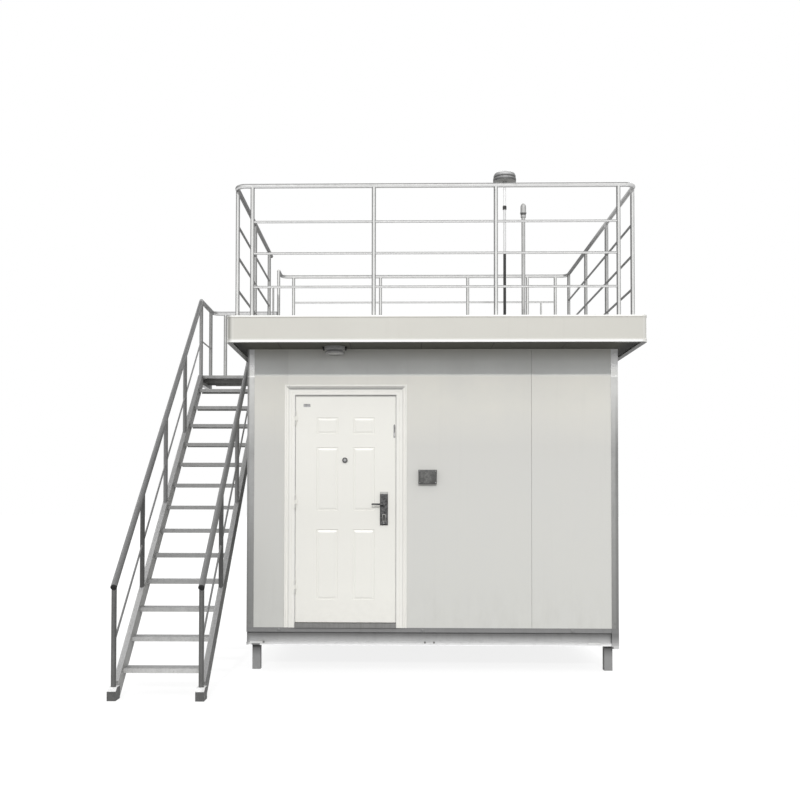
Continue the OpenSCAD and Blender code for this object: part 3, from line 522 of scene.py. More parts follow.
# Painted shade and light by height, from the bottom edge up to the lip.
beam_shading = beam.ramp(share, (0.0, 246), (0.15, 240), (0.21, 226), (0.27, 214), (0.33, 186), (0.42, 166),
                 (0.62, 108), (0.74, 100), (0.79, 120), (1.0, 116))
scuff = beam.noise(16, 6.0, 0.75, (1, 1, 2.2)).over(0.5, 0.68)
beam.layer(0.8, beam_shading)
beam.layer(scuff * 0.2, grey(112, 0.94, 0.98))
bottom_highlight = share.over(0.17, 0.14)
LEG_WIDTH = 0.07
beam_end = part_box("base_front")[1].x - corner.x
left_leg, right_leg = (end.x - corner.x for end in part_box("legs"))
# Painted shade where the legs' tops meet the beam.
leg_top_shade = beam.x.band(left_leg, left_leg + LEG_WIDTH, 0.003) * share.over(0.22, 0.19)
leg_top_shade = leg_top_shade + beam.x.band(right_leg - LEG_WIDTH, right_leg, 0.003) * share.over(0.13, 0.10)
leg_top_shade = leg_top_shade * beam.faces_front()
ends = beam.x.over(0.030, 0.010) + beam.x.over(beam_end - 0.068, beam_end - 0.062)
# The bottom edge is painted white as a highlight.
beam.layer(bottom_highlight, (1.0, 1.0, 1.0))
beam.layer(ends.clamped() * 0.55, grey(112))
beam.layer(leg_top_shade * 0.9, grey(84))
beam.set(Metallic=0.35 * (1 - bottom_highlight))
give(beam, "base_front", "base_back", "base_left", "base_right")
print("beams done")

# %% [markdown]
# ## Stair steel
# Light and shade are painted in by the way a surface faces: what faces up, forward and down each gets a shade
# of its own, and the surface's own normal tells them apart. Treads and deck are chequered: rows of raised
# bars, each row slanting the other way, that only rise on their tops.

# %% Stair steel
TWO_ROWS, BAR_SPACING = 0.05, 0.035

def stair_zinc(name, front, top, under, chequer=False):
    steel = zinc(name, front, front - 16, spangle=60, runs=0.3)
    worn = steel.noise(24, 5.0, 0.7)
    speck = steel.noise(85, 3.0, 0.75).over(0.54, 0.66)
    facing_up = steel.up.over(0.4, 0.8)
    facing_down = steel.up.over(-0.3, -0.8)
    # Painted light and shade: each way a face looks gets a shade of its own.
    steel.layer(facing_up, grey(top))
    steel.layer(facing_down, grey(under))
    steel.layer(worn.over(0.5, 0.75) * 0.3, grey(front - 40, 0.94, 0.98))
    steel.layer(speck * 0.3, grey(front * 0.5, 0.95, 0.99))
    if chequer:
        row = (steel.y / TWO_ROWS).fract()
        flip = (row > 0.5) * 2 - 1
        slant = ((steel.x + steel.y * flip) / BAR_SPACING).fract()
        bar = slant.band(0.38, 0.62, 0.1) * abs((row * 2).fract() - 0.5).band(-1, 0.34, 0.08)
        steel.layer(bar * facing_up * 0.5, grey(top + 18))
        steel.set(Normal=steel.bump(bar * facing_up, 0.0015, 0.9))
    steel.set(Metallic=0.35 * (1 - facing_down))
    return steel

print("a shade for each way a face looks")

# %% Treads, stringers and landing
tread = stair_zinc("tread_zinc", 197, 160, 96, chequer=True)
# Painted shade on the fronts of the higher treads.
higher_front_shade = tread.z.over(0.12, 0.95) * tread.up.over(0.5, 0.2)
tread.layer(higher_front_shade * 0.68, grey(102))
give(tread, "stair_treads")
# The left stringer is the lit copy and the right one the shaded copy of one zinc. Painted shade darkens the
# left one towards the back and the right one on its outer side.
lit_stringer = stair_zinc("bright_stringer_zinc", 186, 196, 92)
lit_stringer.layer(lit_stringer.y.over(-0.2, 1.6) * 0.65, grey(112))
give(lit_stringer, "stringer_left")
shaded_stringer = stair_zinc("dull_stringer_zinc", 166, 176, 92)
shaded_stringer.layer(shaded_stringer.side.over(0.4, 0.8) * 0.8, grey(76))
give(shaded_stringer, "stringer_right")
give(stair_zinc("foot_zinc", 93, 240, 92), "stair_feet")
# The undersides of the landing and its frame are painted light.
give(stair_zinc("landing_zinc", 150, 196, 254, chequer=True), "landing_deck")
give(stair_zinc("frame_zinc", 140, 150, 254), "landing_frame")
print("treads, stringers and landing done")

# %% Handrails and guard
handrail = stair_zinc("handrail_zinc", 102, 104, 64)
rail_points = points_of("handrail_left")
rail_top = max(rail_points, key=lambda point: point.z)
rail_tip = min(rail_points, key=lambda point: point.y)
climb = (rail_top.z - rail_tip.z) / (rail_top.y - rail_tip.y)
below_rail = rail_top.z - handrail.z - climb * (rail_top.y - corner.y - handrail.y)
# Painted shade on the sloping tops, and painted light on the rail below the top rail, where the top rail's
# shadow falls. The handrails are also lighter behind their front ends.
sloping = handrail.up.over(0.03, 0.12)
sloping_shade = handrail.mix(handrail.y.over(-0.8, 1.0), grey(120), grey(94))
handrail.layer(handrail.y.over(-0.3, 0.1), grey(142))
handrail.layer(sloping * 0.8, sloping_shade)
handrail.layer(sloping * below_rail.band(0.15, 0.95, 0.02), grey(140))
give(handrail, "handrail_left", "handrail_right")
guard = stair_zinc("guard_zinc", 184, 200, 92)
guard_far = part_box("landing_guard")[1]
back_bar = guard.z.over(guard_far.z - 0.060, guard_far.z - 0.052)
back_bar = back_bar * guard.y.over(guard_far.y - corner.y - 0.06, guard_far.y - corner.y - 0.05)
guard.layer(back_bar, grey(196))
painted_bar_shade(guard, 118, 92)
give(guard, "landing_guard")
print("handrails climb", round(climb, 3))

# %% [markdown]
# ## Dark fittings
# Lock, lever and wall box are cast or moulded in dark grey and have gone patchy. The sill is a dull stainless
# strip that shoes have scratched across its width.

# %% Sill
sill = Finish("sill_plate", metallic=0.55)
scratch = sill.noise(60, 5.0, 0.75, (1, 0.06, 0.06))
grime = sill.noise(12, 6.0, 0.7)
sill.blend(grime, grey(108, 0.96, 0.99), grey(136, 0.98))
sill.layer(scratch.over(0.45, 0.7) * 0.45, grey(88, 0.92, 0.97))
sill.set(Roughness=0.35 + 0.3 * grime, Normal=sill.bump(scratch, 0.0004, 0.5))
give(sill, "door_sill")
print("sill done")

# %% Hardware and plastic
def dark_metal(name, shade, patchy, metallic):
    metal = Finish(name, metallic=metallic)
    mottle = metal.noise(46, 4.0, 0.7)
    fine = metal.noise(210, 2.0, 0.6)
    metal.blend(mottle.over(0.38, 0.66), grey(shade - patchy), grey(shade + patchy))
    metal.set(Roughness=0.32 + 0.3 * fine, Normal=metal.bump(fine, 0.0002, 0.5))
    return metal

lock_metal = dark_metal("lock_metal", 62, 34, 0.3)
plate_low, plate_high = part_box("lock_plate")
# A painted highlight along the plate's top.
lock_metal.layer(lock_metal.z.over(plate_high.z - 0.022, plate_high.z - 0.014) * 0.75, grey(206, 0.95))
give(lock_metal, "lock_plate")
lever_metal = dark_metal("lever_metal", 84, 14, 0.7)
give(lever_metal, "door_lever", "peephole")
give(dark_metal("box_plastic", 73, 24, 0.1), "wall_box")
lamp_plastic = dark_metal("lamp_plastic", 160, 10, 0.0)
give(lamp_plastic, "soffit_lamp")
bolt_zinc = dark_metal("bolt_zinc", 176, 20, 0.6)
black_rubber = Finish("black_rubber", roughness=0.8, Specular_IOR_Level=0.2)
dust = black_rubber.noise(70, 4.0)
black_rubber.blend(dust, grey(36), grey(58))
black_rubber.set(Roughness=0.7 + 0.2 * dust, Normal=black_rubber.bump(dust, 0.0003, 0.4))
print("fittings done")

# %% [markdown]
# ## Flue and vent
# The flue is a black pole up to a coupling, with bare bright tube above it and a dark cap with light bands at
# its folded rims. The rims are found by height again.

# %% Flue and vent
flue = Finish("flue_paint", metallic=0.3)
soot = flue.noise(15, 5.0, 0.7, (1, 1, 0.3))
streak = flue.noise(9, 3.0, 0.6, (1, 1, 0.15))
height = flue.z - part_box("flue")[0].z
BARE_FROM, COUPLING, COUPLING_END, CAP = 1.05, 1.487, 1.527, 1.752
cap = flue.ramp(height.over(CAP, CAP + 0.1), (0.0, 102), (0.15, 90), (0.25, 104), (0.36, 168), (0.45, 136),
                (0.53, 90), (0.61, 156), (0.72, 206), (1.0, 236))
# Painted shade towards the cap's flanks. The cap is lighter underneath.
cap = flue.mix(abs(flue.side).over(0.45, 0.95) * 0.7, cap, grey(56))
cap = flue.mix(flue.up.over(-0.5, -0.9), cap, grey(168, 0.97))
flue.blend(soot, grey(34), grey(60, 0.97))
flue.layer(height.band(BARE_FROM, COUPLING, 0.006) * (0.75 + 0.2 * streak), grey(228))
flue.layer(height.band(COUPLING_END, CAP, 0.004), grey(232))
flue.layer(height.over(CAP - 0.002, CAP + 0.002) * (0.8 + 0.2 * soot), cap)
flue.set(Roughness=0.42 + 0.3 * soot, Normal=flue.bump(soot, 0.0008, 0.4))
give(flue, "flue")
vent = zinc("vent_zinc", 186, 172)
from_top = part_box("vent_pipe")[1].z - vent.z
# Painted shade on the pipe's flanks.
vent.layer(abs(vent.side).over(0.5, 0.88) * 0.7, grey(112))
vent.layer(from_top.band(0.098, 0.122, 0.003) * 0.8, grey(64))
give(vent, "vent_pipe")
print("flue and vent done")

# %% [markdown]
# ## Tools for small parts
# Small parts are modelled as by hand: a primitive is added at its size and place, faces are picked by where
# they are, and edit-mode tools shape them. Operators act on whatever is selected, so `clear` deselects first.

# %% Choosing
def clear():
    if bpy.context.object and bpy.context.object.mode == "EDIT":
        bpy.ops.object.mode_set(mode="OBJECT")
    bpy.ops.object.select_all(action="DESELECT")

def choose(*pieces):
    """Selects these pieces and nothing else. The first one is active, so the others would join it."""
    clear()
    for piece in pieces:
        piece.select_set(True)
    bpy.context.view_layer.objects.active = pieces[0]

def pick(piece, faces=None, edges=None):
    """In edit mode, selects the faces or edges of a piece that a rule says yes to."""
    choose(piece)
    bpy.ops.object.mode_set(mode="EDIT")
    bpy.ops.mesh.select_mode(type="FACE" if faces else "EDGE")
    bpy.ops.mesh.select_all(action="DESELECT")
    mesh = bmesh.from_edit_mesh(piece.data)
    for part in (mesh.faces if faces else mesh.edges):
        if (faces or edges)(part):
            part.select_set(True)
    mesh.select_flush_mode()
    bmesh.update_edit_mesh(piece.data)

print("pieces, faces and edges can be picked")

# %% Measures and primitives
def centre(edge):
    return (edge.verts[0].co + edge.verts[1].co) / 2

def reach(edge, axis):
    """How far an edge runs along x, y or z."""
    return abs(getattr(edge.verts[0].co, axis) - getattr(edge.verts[1].co, axis))

def settle(piece):
    """Puts the object at the origin, unturned, with its place in its mesh."""
    choose(piece)
    bpy.ops.object.transform_apply(location=True, rotation=True, scale=True)
    return piece

def block(name, low, high):
    clear()
    low, high = Vector(low), Vector(high)
    bpy.ops.mesh.primitive_cube_add(size=1, location=(low + high) / 2, scale=high - low)
    bpy.context.object.name = name
    return settle(bpy.context.object)

def drum(name, place, radius, depth, sides=32, turned=(0, 0, 0)):
    clear()
    bpy.ops.mesh.primitive_cylinder_add(vertices=sides, radius=radius, depth=depth, location=place,
                                        rotation=turned)
    bpy.context.object.name = name
    return settle(bpy.context.object)

print("blocks and drums ready")

# %% Finishing and copying
def smooth(piece, angle=28):
    """Shades a piece smooth, except where two faces meet at more than an angle in degrees."""
    choose(piece)
    bpy.ops.object.shade_smooth_by_angle(angle=radians(angle))
    return piece

def finished(piece, finish, body="root"):
    clear()
    piece.data.materials.clear()
    piece.data.materials.append(finish.material)
    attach(piece, body)
    print(piece.name, len(piece.data.polygons), "faces")
    return piece

def repeat(piece, name, places):
    """Copies a piece to places, which are matrices, each copy with its own mesh, and joins the copies."""
    clear()
    copies = []
    for place in places:
        copy = piece.copy()
        copy.data = piece.data.copy()
        copy.data.transform(place)
        add_to_scene(copy)
        copies.append(copy)
    bpy.data.objects.remove(piece)
    choose(*copies)
    bpy.ops.object.join()
    bpy.context.object.name = name
    return bpy.context.object

def slide(x=0, y=0, z=0):
    return Matrix.Translation((x, y, z))

print("tools laid out")

# %% [markdown]
# ## Bolts
# Round plates at the feet of the railings are bolted through the deck. One bolt is a washer with a hexagon
# head on it: the washer's rim and the head's corners are bevelled, then the pair is copied round every plate.

# %% One bolt
def bolt(size):
    washer = drum("washer", (0, 0, size * 0.09), size * 0.72, size * 0.18, 20)
    pick(washer, edges=lambda e: centre(e).z > size * 0.17 and reach(e, "z") < 1e-6)
    bpy.ops.mesh.bevel(offset=size * 0.05, segments=2)
    head = drum("head", (0, 0, size * 0.45), size * 0.55, size * 0.54, 6)
    pick(head, faces=lambda f: f.normal.z > 0.9)
    bpy.ops.mesh.inset(thickness=size * 0.1, depth=size * 0.07)
    bpy.ops.mesh.inset(thickness=size * 0.14, depth=-size * 0.05)
    choose(head, washer)
    bpy.ops.object.join()
    return smooth(head, 25)

print("one bolt")

# %% Bolts round the foot plates
PLATE_TOP = DECK + 0.006
WIDEST_PLATE, FEWEST_CORNERS = 0.085, 12

def middle_and_width(ring):
    """The middle of a ring of points and its width along x."""
    low, high = (Vector([end(p[k] for p in ring) for k in range(3)]) for end in (min, max))
    return (low + high) / 2, high.x - low.x

def foot_plates(railing):
    """Finds the round plates under a railing's posts from their rings of corners at one height."""
    rings = []
    for point in points_of(railing):
        if abs(point.z - PLATE_TOP) < 0.0004:
            near = [ring for ring in rings if (ring[0] - point).length < WIDEST_PLATE]
            if near:
                near[0].append(point)
            else:
                rings.append([point])
    return [middle_and_width(ring) for ring in rings if len(ring) > FEWEST_CORNERS]

for railing in RAILINGS:
    places = []
    for middle, width in foot_plates(railing):
        for k in range(4):
            around = Matrix.Rotation(radians(45 + 90 * k), 4, "Z")
            places.append(slide(*middle) @ around @ slide(width / 2 - 0.0075))
    finished(repeat(bolt(0.010), railing + "_bolts", places), bolt_zinc)

# %% [markdown]
# ## Shaping tools
# Three moves shape nearly every small fitting: take the sharp edges off, sink a face inside its rim, and put
# several parts together. A rule such as `before` says which edges, by where their middles lie. Written once,
# they make each fitting below a short recipe.

# %% Round, sink and join
def round_edges(piece, width, segments=2, rule=None):
    pick(piece, edges=rule or (lambda e: True))
    bpy.ops.mesh.bevel(offset=width, segments=segments)
    return piece

def sink(piece, rim, depth, facing=(0, -1, 0)):
    """Insets the face that looks one way and pushes it in by a depth, or out by a negative one."""
    pick(piece, faces=lambda f: f.normal.dot(Vector(facing)) > 0.95)
    bpy.ops.mesh.inset(thickness=rim, depth=-depth)
    return piece

def before(y): return lambda edge: centre(edge).y < y
def below(z): return lambda edge: centre(edge).z < z
def above(z): return lambda edge: centre(edge).z > z

def runs_back(edge):
    """Says yes to an edge that runs from front to back, as a plate's four corners do."""
    return reach(edge, "y") > 0.001

def join(*pieces):
    choose(*pieces)
    bpy.ops.object.join()
    return smooth(pieces[0])

FRONT = (QUARTER, 0, 0)
print("tools for fittings laid out")

# %% [markdown]
# ## The lock
# A door of this kind has a long cast plate with a raised border, a round rose where the lever's spindle comes
# out, and a bright arched escutcheon over the key's cylinder. The border is one block, its edges rounded and
# its middle sunk twice, which leaves a moulded rim.

# %% Lock border and rose
lever_low, lever_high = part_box("door_lever")
face = plate_low.y
middle = (plate_low.x + plate_high.x) / 2
border = block("lock_border", plate_low + Vector((0.004, -0.0022, 0.005)),
               Vector((plate_high.x - 0.004, face, plate_high.z - 0.005)))
round_edges(border, 0.0014)
sink(border, 0.004, 0.0010)
sink(border, 0.002, 0.0008)
finished(smooth(border), lock_metal, "door")

spindle = Vector((lever_high.x - 0.009, face, (lever_low.z + lever_high.z) / 2))
rose = drum("lever_rose", spindle + Vector((0, -0.002, 0)), 0.017, 0.005, 40, FRONT)
round_edges(rose, 0.0012, 2, before(face - 0.003))
sink(rose, 0.0035, -0.0010)
finished(smooth(rose), lock_metal, "door")

# %% Key escutcheon
key_z = plate_low.z + 0.066
rim_metal = Finish("rim_metal", metallic=0.5, roughness=0.35)
worn = rim_metal.noise(150, 3.0, 0.7)
raised = rim_metal.y.over(face - corner.y - 0.0030, face - corner.y - 0.0038)
raised = raised * (0.25 + 0.75 * rim_metal.z.over(key_z - 0.012, key_z + 0.016))
rim_metal.blend(raised * (0.7 + 0.3 * worn), grey(66, 0.9, 0.98), grey(226, 0.96))
escutcheon = block("key_escutcheon", (middle - 0.015, face - 0.0040, key_z - 0.034),
                   (middle + 0.015, face - 0.0005, key_z + 0.030))
round_edges(escutcheon, 0.0142, 10, lambda e: runs_back(e) and centre(e).z > key_z)
round_edges(escutcheon, 0.0009, 2, before(face - 0.0038))
sink(escutcheon, 0.0046, 0.0016)
finished(smooth(escutcheon), rim_metal, "door")

# %% Key cylinder
barrel = drum("barrel", (middle, face - 0.0042, key_z + 0.008), 0.0082, 0.004, 32, FRONT)
round_edges(barrel, 0.0006, 2, before(face - 0.006))
sink(barrel, 0.0016, 0.0005)
foot = block("foot", (middle - 0.0045, face - 0.0060, key_z - 0.020),
             (middle + 0.0045, face - 0.0022, key_z + 0.002))
round_edges(foot, 0.0008)
slot = block("key_slot", (middle - 0.0009, face - 0.0068, key_z + 0.003),
             (middle + 0.0009, face - 0.0054, key_z + 0.013))
round_edges(slot, 0.0003)
cylinder = join(barrel, foot)
cylinder.name = "key_cylinder"
finished(cylinder, lock_metal, "door")
finished(slot, black_rubber, "door")

# %% Lock screws
def screw(radius):
    """A round-headed screw that looks to the front: a domed drum with a slot sunk across it."""
    head = drum("screw", (0, 0, 0), radius, radius * 0.8, 20, FRONT)
    round_edges(head, radius * 0.3, 3, before(-radius * 0.39))
    cut = block("cut", radius * Vector((-0.72, -0.46, -0.11)), radius * Vector((0.72, -0.36, 0.11)))
    sink(cut, radius * 0.05, radius * 0.04)
    return join(head, cut)

places = [slide(middle, face - 0.0016, z) for z in (plate_low.z + 0.017, plate_high.z - 0.017)]
finished(repeat(screw(0.0042), "lock_screws", places), bolt_zinc, "door")

# %% [markdown]
# ## On the door
# A blank tag is riveted near the top corner, a latch cover sits at the leaf's free edge, and the peephole has
# a turned collar round a glass lens. The hinges' pins end in domed caps.

# %% Tag and latch cover
tag_at = leaf_low + Vector((0.096, 0, 1.868))
tag = block("door_tag", tag_at + Vector((-0.029, -0.0016, -0.013)), tag_at + Vector((0.029, 0.0002, 0.013)))
round_edges(tag, 0.003, 3, runs_back)
sink(tag, 0.0022, 0.0005)
rivet = drum("rivet", (0, 0, 0), 0.0018, 0.0016, 16, FRONT)
round_edges(rivet, 0.0005, 2, before(-0.0007))
rivets = repeat(rivet, "rivets", [slide(tag_at.x + x, tag_at.y - 0.0014, tag_at.z) for x in (-0.024, 0.024)])
tag_metal = dark_metal("tag_metal", 142, 26, 0.4)
finished(join(tag, rivets), tag_metal, "door")

latch_z = leaf_low.z + 1.645
latch = block("latch_cover", (leaf_high.x - 0.0180, leaf_low.y - 0.0018, latch_z - 0.058),
              (leaf_high.x - 0.004, leaf_low.y + 0.0002, latch_z + 0.058))
round_edges(latch, 0.0062, 5, runs_back)
sink(latch, 0.0012, 0.0006)
finished(smooth(latch), tag_metal, "door")

# %% Peephole
hole_low, hole_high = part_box("peephole")
eye_at = (hole_low + hole_high) / 2
eye_at.y = hole_low.y
radius = (hole_high.x - hole_low.x) / 2
collar = drum("peephole_collar", eye_at + Vector((0, -0.0014, 0)), radius * 0.98, 0.0034, 48, FRONT)
round_edges(collar, 0.0010, 3, before(eye_at.y - 0.003))
sink(collar, radius * 0.34, 0.0018)
finished(smooth(collar), lever_metal, "door")
lens = drum("peephole_lens", eye_at + Vector((0, -0.0012, 0)), radius * 0.52, 0.0016, 40, FRONT)
round_edges(lens, 0.0006, 3, before(eye_at.y - 0.0018))
sink(lens, radius * 0.16, -0.0006)
lens_glass = dark_metal("lens_glass", 150, 14, 0.1)
lens_glass.set(Coat_Weight=1.0, Coat_Roughness=0.05)
finished(smooth(lens), lens_glass, "door")

# %% Hinge caps
hinge = next(joint for joint in frame["joints"] if joint["name"] == "door_hinge")["pos_m"]
levels = sorted({round(point.z, 4) for point in points_of("hinge_knuckles_frame")})
cap = drum("cap", (0, 0, 0.0012), 0.0062, 0.0030, 24)
round_edges(cap, 0.0011, 3, above(0.0025))
under = Matrix.Rotation(HALF, 4, "X")
places = [slide(hinge[0], hinge[1], z) for z in levels[3::4]]
places += [slide(hinge[0], hinge[1], z) @ under for z in levels[0::4]]
finished(smooth(repeat(cap, "hinge_caps", places)), casing)

# %% [markdown]
# ## On the wall and under the eave
# The control box has a lid with a rounded rim, a sunken face and four screws. The lamp under the eave gets a
# ring that clamps its glass, a glass that bulges, and two spring clips at its sides.

# %% Box lid
box_low, box_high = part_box("wall_box")
lid = block("box_lid", (box_low.x + 0.003, box_low.y - 0.0065, box_low.z + 0.003),
            (box_high.x - 0.003, box_low.y + 0.0002, box_high.z - 0.003))
round_edges(lid, 0.008, 5, runs_back)
round_edges(lid, 0.0022, 3, before(box_low.y - 0.006))
sink(lid, 0.012, 0.0026)
lid_plastic = dark_metal("lid_plastic", 84, 30, 0.1)
blotch = lid_plastic.noise(36, 5.0, 0.72)
# A painted sheen lightens the blotches across the middle of the lid.
sheen = lid_plastic.x.band(box_low.x - corner.x + 0.035, box_high.x - corner.x - 0.05, 0.03)
patchy = blotch.over(0.4, 0.66) * (0.4 + 0.6 * sheen)
lid_plastic.blend(patchy, grey(45, 0.88, 0.99), grey(106, 0.96))
lid_plastic.set(Coat_Weight=0.4, Coat_Roughness=0.3)
finished(smooth(lid), lid_plastic)
places = [slide(x, box_low.y - 0.0058, z) for x in (box_low.x + 0.0105, box_high.x - 0.0105)
          for z in (box_low.z + 0.0105, box_high.z - 0.0105)]
finished(repeat(screw(0.0036), "box_screws", places), bolt_zinc)

# %% Lamp ring, glass and clips
lamp_low, lamp_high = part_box("soffit_lamp")
lamp_at = (lamp_low + lamp_high) / 2
lamp_r = (lamp_high.x - lamp_low.x) / 2
ring = drum("lamp_ring", (lamp_at.x, lamp_at.y, lamp_low.z + 0.001), lamp_r * 0.93, 0.012, 64)
round_edges(ring, 0.0035, 3, below(lamp_low.z - 0.004))
sink(ring, lamp_r * 0.14, 0.006, (0, 0, -1))
finished(smooth(ring), lamp_plastic)
glass = drum("lamp_glass", (lamp_at.x, lamp_at.y, lamp_low.z - 0.001), lamp_r * 0.76, 0.008, 64)
round_edges(glass, 0.003, 3, below(lamp_low.z - 0.004))
for rim in (0.2, 0.22):
    sink(glass, lamp_r * rim, -0.003, (0, 0, -1))
opal = Finish("opal_glass", roughness=0.25, Coat_Weight=0.6)
haze = opal.noise(30, 4.0, 0.6)
opal.blend(haze, grey(178), grey(200, 0.96))
opal.set(Normal=opal.bump(haze, 0.0003, 0.3))
finished(smooth(glass, 50), opal)

clip = block("clip", (-0.011, -0.014, -0.030), (0.009, 0.014, 0.0))
pick(clip, faces=lambda f: f.normal.z < -0.9)
bpy.ops.transform.resize(value=(0.45, 0.8, 1), center_override=(0.004, 0, -0.030))
round_edges(clip, 0.0018)
half_turn = Matrix.Rotation(HALF, 4, "Z")
places = [slide(lamp_at.x - lamp_r - 0.006, lamp_at.y, lamp_high.z),
          slide(lamp_at.x + lamp_r + 0.006, lamp_at.y, lamp_high.z) @ half_turn]
finished(smooth(repeat(clip, "lamp_clips", places)), black_rubber)

# %% [markdown]
# ## Fixings on the frame
# The base beam carries a few small things: three bolts through its web, tabs that hold the wall's foot to the
# upper lip, and plates welded near its ends. Each post is bolted near its head and foot. Places are distances
# along the beam, and the same parts are copied to the beam at the back, turned round.

# %% Tabs, plates and bolts
middle = ((corner + far_corner) / 2).to_2d()
turned_back = slide(*middle) @ half_turn @ slide(*-middle)

def fix_along(piece, name, distances, heights, finish):
    """Copies a piece to distances along the front, at heights from the ground, and to the back."""
    places = [slide(*house(x, 0, z)) for x in distances for z in heights]
    places += [turned_back @ place for place in places]
    finished(repeat(piece, name, places), finish)

tab = block("tab", (-0.016, -0.0035, -0.013), (0.016, 0.0, 0.013))
round_edges(tab, 0.0012)
sink(tab, 0.006, -0.0018)
fix_along(tab, "lip_tabs", (0.28, 1.52, 2.80), (FLOOR - 0.019,), beam)

plate = block("plate", (-0.055, -0.0035, -0.010), (0.055, 0.0, 0.010))
round_edges(plate, 0.0015)
sink(plate, 0.004, 0.0006)
fix_along(plate, "weld_plates", (0.085, WIDTH - 0.21), (LEG + 0.045,), rail)

def hexagon_to_front(size):
    head = bolt(size)
    head.data.transform(Matrix.Rotation(QUARTER, 4, "X"))
    return head

fix_along(hexagon_to_front(0.013), "beam_bolts", (0.150, 1.536, 1.614), (LEG + 0.048,), sill)
fix_along(hexagon_to_front(0.011), "post_bolts", (0.030, WIDTH - 0.030), (EAVE - 0.045, FLOOR + 0.045), post)

# %% [markdown]
# ## Ends and welds of the rails
# A cut tube lets rain in, so each open end gets a plug: a rubber disc with a rounded rim, pressed on square
# to the tube. The tube's own direction turns the disc, so the plug fits whatever the slope. Where a post
# meets its foot plate there is a weld, modelled as a low ring whose upper edge is drawn in to the post.

# %% Plugs
def plug(name, end, direction, radius, depth=0.012):
    piece = drum(name + "_plug", (0, 0, 0), radius, depth, 40)
    round_edges(piece, 0.003, 3, below(-depth * 0.49))
    sink(piece, radius * 0.3, -0.0012, (0, 0, -1))
    clear()
    piece.data.transform(slide(*end) @ direction.to_track_quat("Z", "Y").to_matrix().to_4x4())
    finished(smooth(piece, 40), black_rubber)

PROUD = 0.004
for node in ("handrail_left", "handrail_right"):
    points = points_of(node)
    tip = min(points, key=lambda point: point.y)
    along = (max(points, key=lambda point: point.z) - tip).normalized()
    rim = [p for p in points if abs((p - tip).dot(along)) < 0.0005 and (p - tip).length < 0.06]
    radius = middle_and_width(rim)[1] / 2
    raised = (Vector((0, 0, 1)) - along * along.z).normalized()
    end = tip - raised * radius - along * PROUD
    plug(node, end, along, radius + 0.0006)

rail_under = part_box("left_railing")[1].z - 0.04
points = [point for point in points_of("left_railing") if point.z > rail_under]
far_end = max(point.y for point in points)
rim = [point for point in points if point.y > far_end - 0.0005]
middle, width = middle_and_width(rim)
end = Vector((middle.x, far_end + PROUD, max(point.z for point in rim) - width / 2))
plug("rail_end", end, Vector((0, -1, 0)), width / 2 - 0.0004)

# %% Weld beads
def bead(radius, height):
    piece = drum("bead", (0, 0, height / 2), radius * 1.28, height, 28)
    pick(piece, faces=lambda f: f.normal.z > 0.9)
    bpy.ops.transform.resize(value=(0.82, 0.82, 1), center_override=(0, 0, height))
    return smooth(round_edges(piece, height * 0.2, 2, above(height * 0.9)), 50)

for railing in RAILINGS:
    places = [slide(*middle) for middle, width in foot_plates(railing)]
    finished(repeat(bead(0.019, 0.006), railing + "_welds", places), rail)

# %% [markdown]
# ## Stair bolts
# Each tread is held through the stringers by a bolt at either end. The treads' own tops give the heights, and
# the stringers' outer faces give where the heads sit, since the stair is turned a little from the wall.

# %% Tread bolts
FLATTENED = 0.36

def hexagon_to_side(size, sign):
    head = bolt(size)
    head.data.transform(Matrix.Rotation(QUARTER * sign, 4, "Y") @ Matrix.Diagonal((1, 1, FLATTENED, 1)))
    return head

treads = frame["nodes"]["stair_treads"].data
levels = {}
for face_up in treads.polygons:
    if face_up.normal.z > 0.99:
        at_level = levels.setdefault(round(face_up.center.z, 3), [])
        at_level.extend(treads.vertices[k].co.y for k in face_up.vertices)
deepest = max(max(ys) - min(ys) for ys in levels.values())
steps = [(z, (min(ys) + max(ys)) / 2) for z, ys in sorted(levels.items())
         if max(ys) - min(ys) > deepest * 0.8]
for side, sign in (("left", -1), ("right", 1)):
    sheet = frame["nodes"]["stringer_" + side].data
    outer = [sheet.vertices[k].co for f in sheet.polygons if f.normal.x * sign > 0.99 for k in f.vertices]
    furthest = max(p.x * sign for p in outer)
    outer = [p for p in outer if p.x * sign > furthest - 0.03]
    first, final = min(outer, key=lambda p: p.y), max(outer, key=lambda p: p.y)
    lean = (final.x - first.x) / (final.y - first.y)
    places = [slide(first.x + lean * (y - first.y) + sign * 0.0002, y, z - 0.03) for z, y in steps]
    bolts = repeat(hexagon_to_side(0.012, sign), "stringer_%s_bolts" % side, places)
    finished(bolts, bolt_zinc)
print(len(steps), "treads bolted")

# %% [markdown]
# ## Door seal
# A pale rubber bulb is pressed into the rebate of each jamb. It fills half of the gap beside the leaf, so
# only a soft line shows there instead of a black slit, and the leaf closes without rubbing on it.

# %% Door seal
def seal_strip(x, y):
    strip = block("door_seal", (x, y, leaf_low.z + 0.002), (x + 0.0025, y + 0.012, leaf_high.z - 0.002))
    round_edges(strip, 0.0009, 3, lambda e: reach(e, "z") > 1)
    return sink(strip, 0.0006, -0.0005)

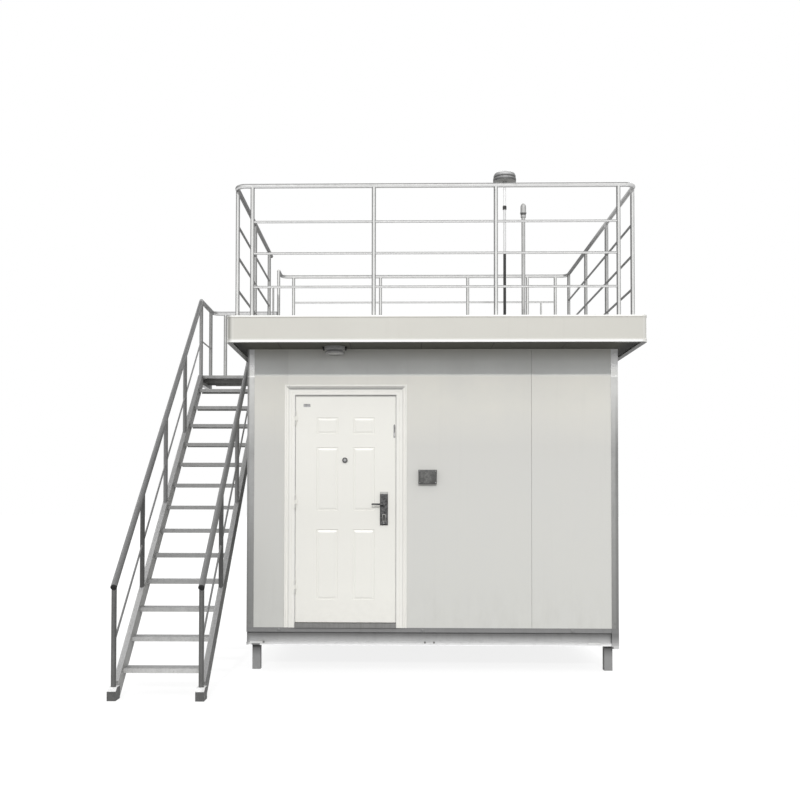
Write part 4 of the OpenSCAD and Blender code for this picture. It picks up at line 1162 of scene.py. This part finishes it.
seals = join(seal_strip(leaf_low.x - 0.005, leaf_low.y + 0.001),
             seal_strip(leaf_high.x + 0.0025, leaf_low.y + 0.014))
seal_rubber = dark_metal("seal_rubber", 238, 10, 0.0)
finished(seals, seal_rubber)

# %% [markdown]
# ## The plain pale floor and the light
# Soft daylight comes from all round, and a low sun from the front throws the eave's shadow on the wall. Two
# broad, weaker suns, behind on the right and on the left, fill in the other sides. The floor must look
# white without lighting the cabin more than it should. So its material asks what kind of ray looks at it:
# the camera and mirrors see it nearly white, and everything else sees a mid grey.

# %% Floor
clear()
bpy.ops.mesh.primitive_plane_add(size=240, location=(0, 0, -0.0005))
ground = bpy.context.object
ground.name = "ground"

def seen_directly(board):
    """Is 1 for a ray from the camera, a mirror or glass, and 0 for one that carries light about."""
    rays = board.node("ShaderNodeLightPath").socket.node.outputs
    direct = Wire(board, rays["Is Camera Ray"]) + Wire(board, rays["Is Glossy Ray"])
    return (direct + Wire(board, rays["Is Transmission Ray"])).clamped()

floor = Finish("ground_paint", roughness=0.9, Specular_IOR_Level=0.0)
direct = seen_directly(floor)
floor.set(Base_Color=floor.mix(direct, grey(149), grey(124)),
          Emission_Color=floor.mix(direct, (0, 0, 0), (0.85, 0.85, 0.85)), Emission_Strength=1.0)
ground.data.materials.append(floor.material)
print("floor laid")

# %% Sky and suns
sky = bpy.data.worlds.new("sky")
bpy.context.scene.world = sky
air = Board(sky)
background = air.nodes["Background"].inputs
air.plug(background["Strength"], seen_directly(air).fade(0.0, 1.0, 0.93, 1.0))
air.plug(background["Color"], (1, 1, 1))

def sun(name, azimuth, elevation, strength, softness):
    """A sun that stands over the front for azimuth 0 and over the right side for 90."""
    lamp = bpy.data.lights.new(name, "SUN")
    lamp.energy, lamp.angle = strength, radians(softness)
    held = bpy.data.objects.new(name, lamp)
    add_to_scene(held)
    held.rotation_euler = (radians(90 - elevation), 0, radians(azimuth))
    return held

sun("low_sun", 0, 25.4, 1.42, 2.5)
sun("back_fill", 150, 40, 0.55, 25)
sun("side_fill", 235, 40, 0.45, 25)
bpy.context.scene.view_settings.view_transform = "Standard"
print("sky and three suns")
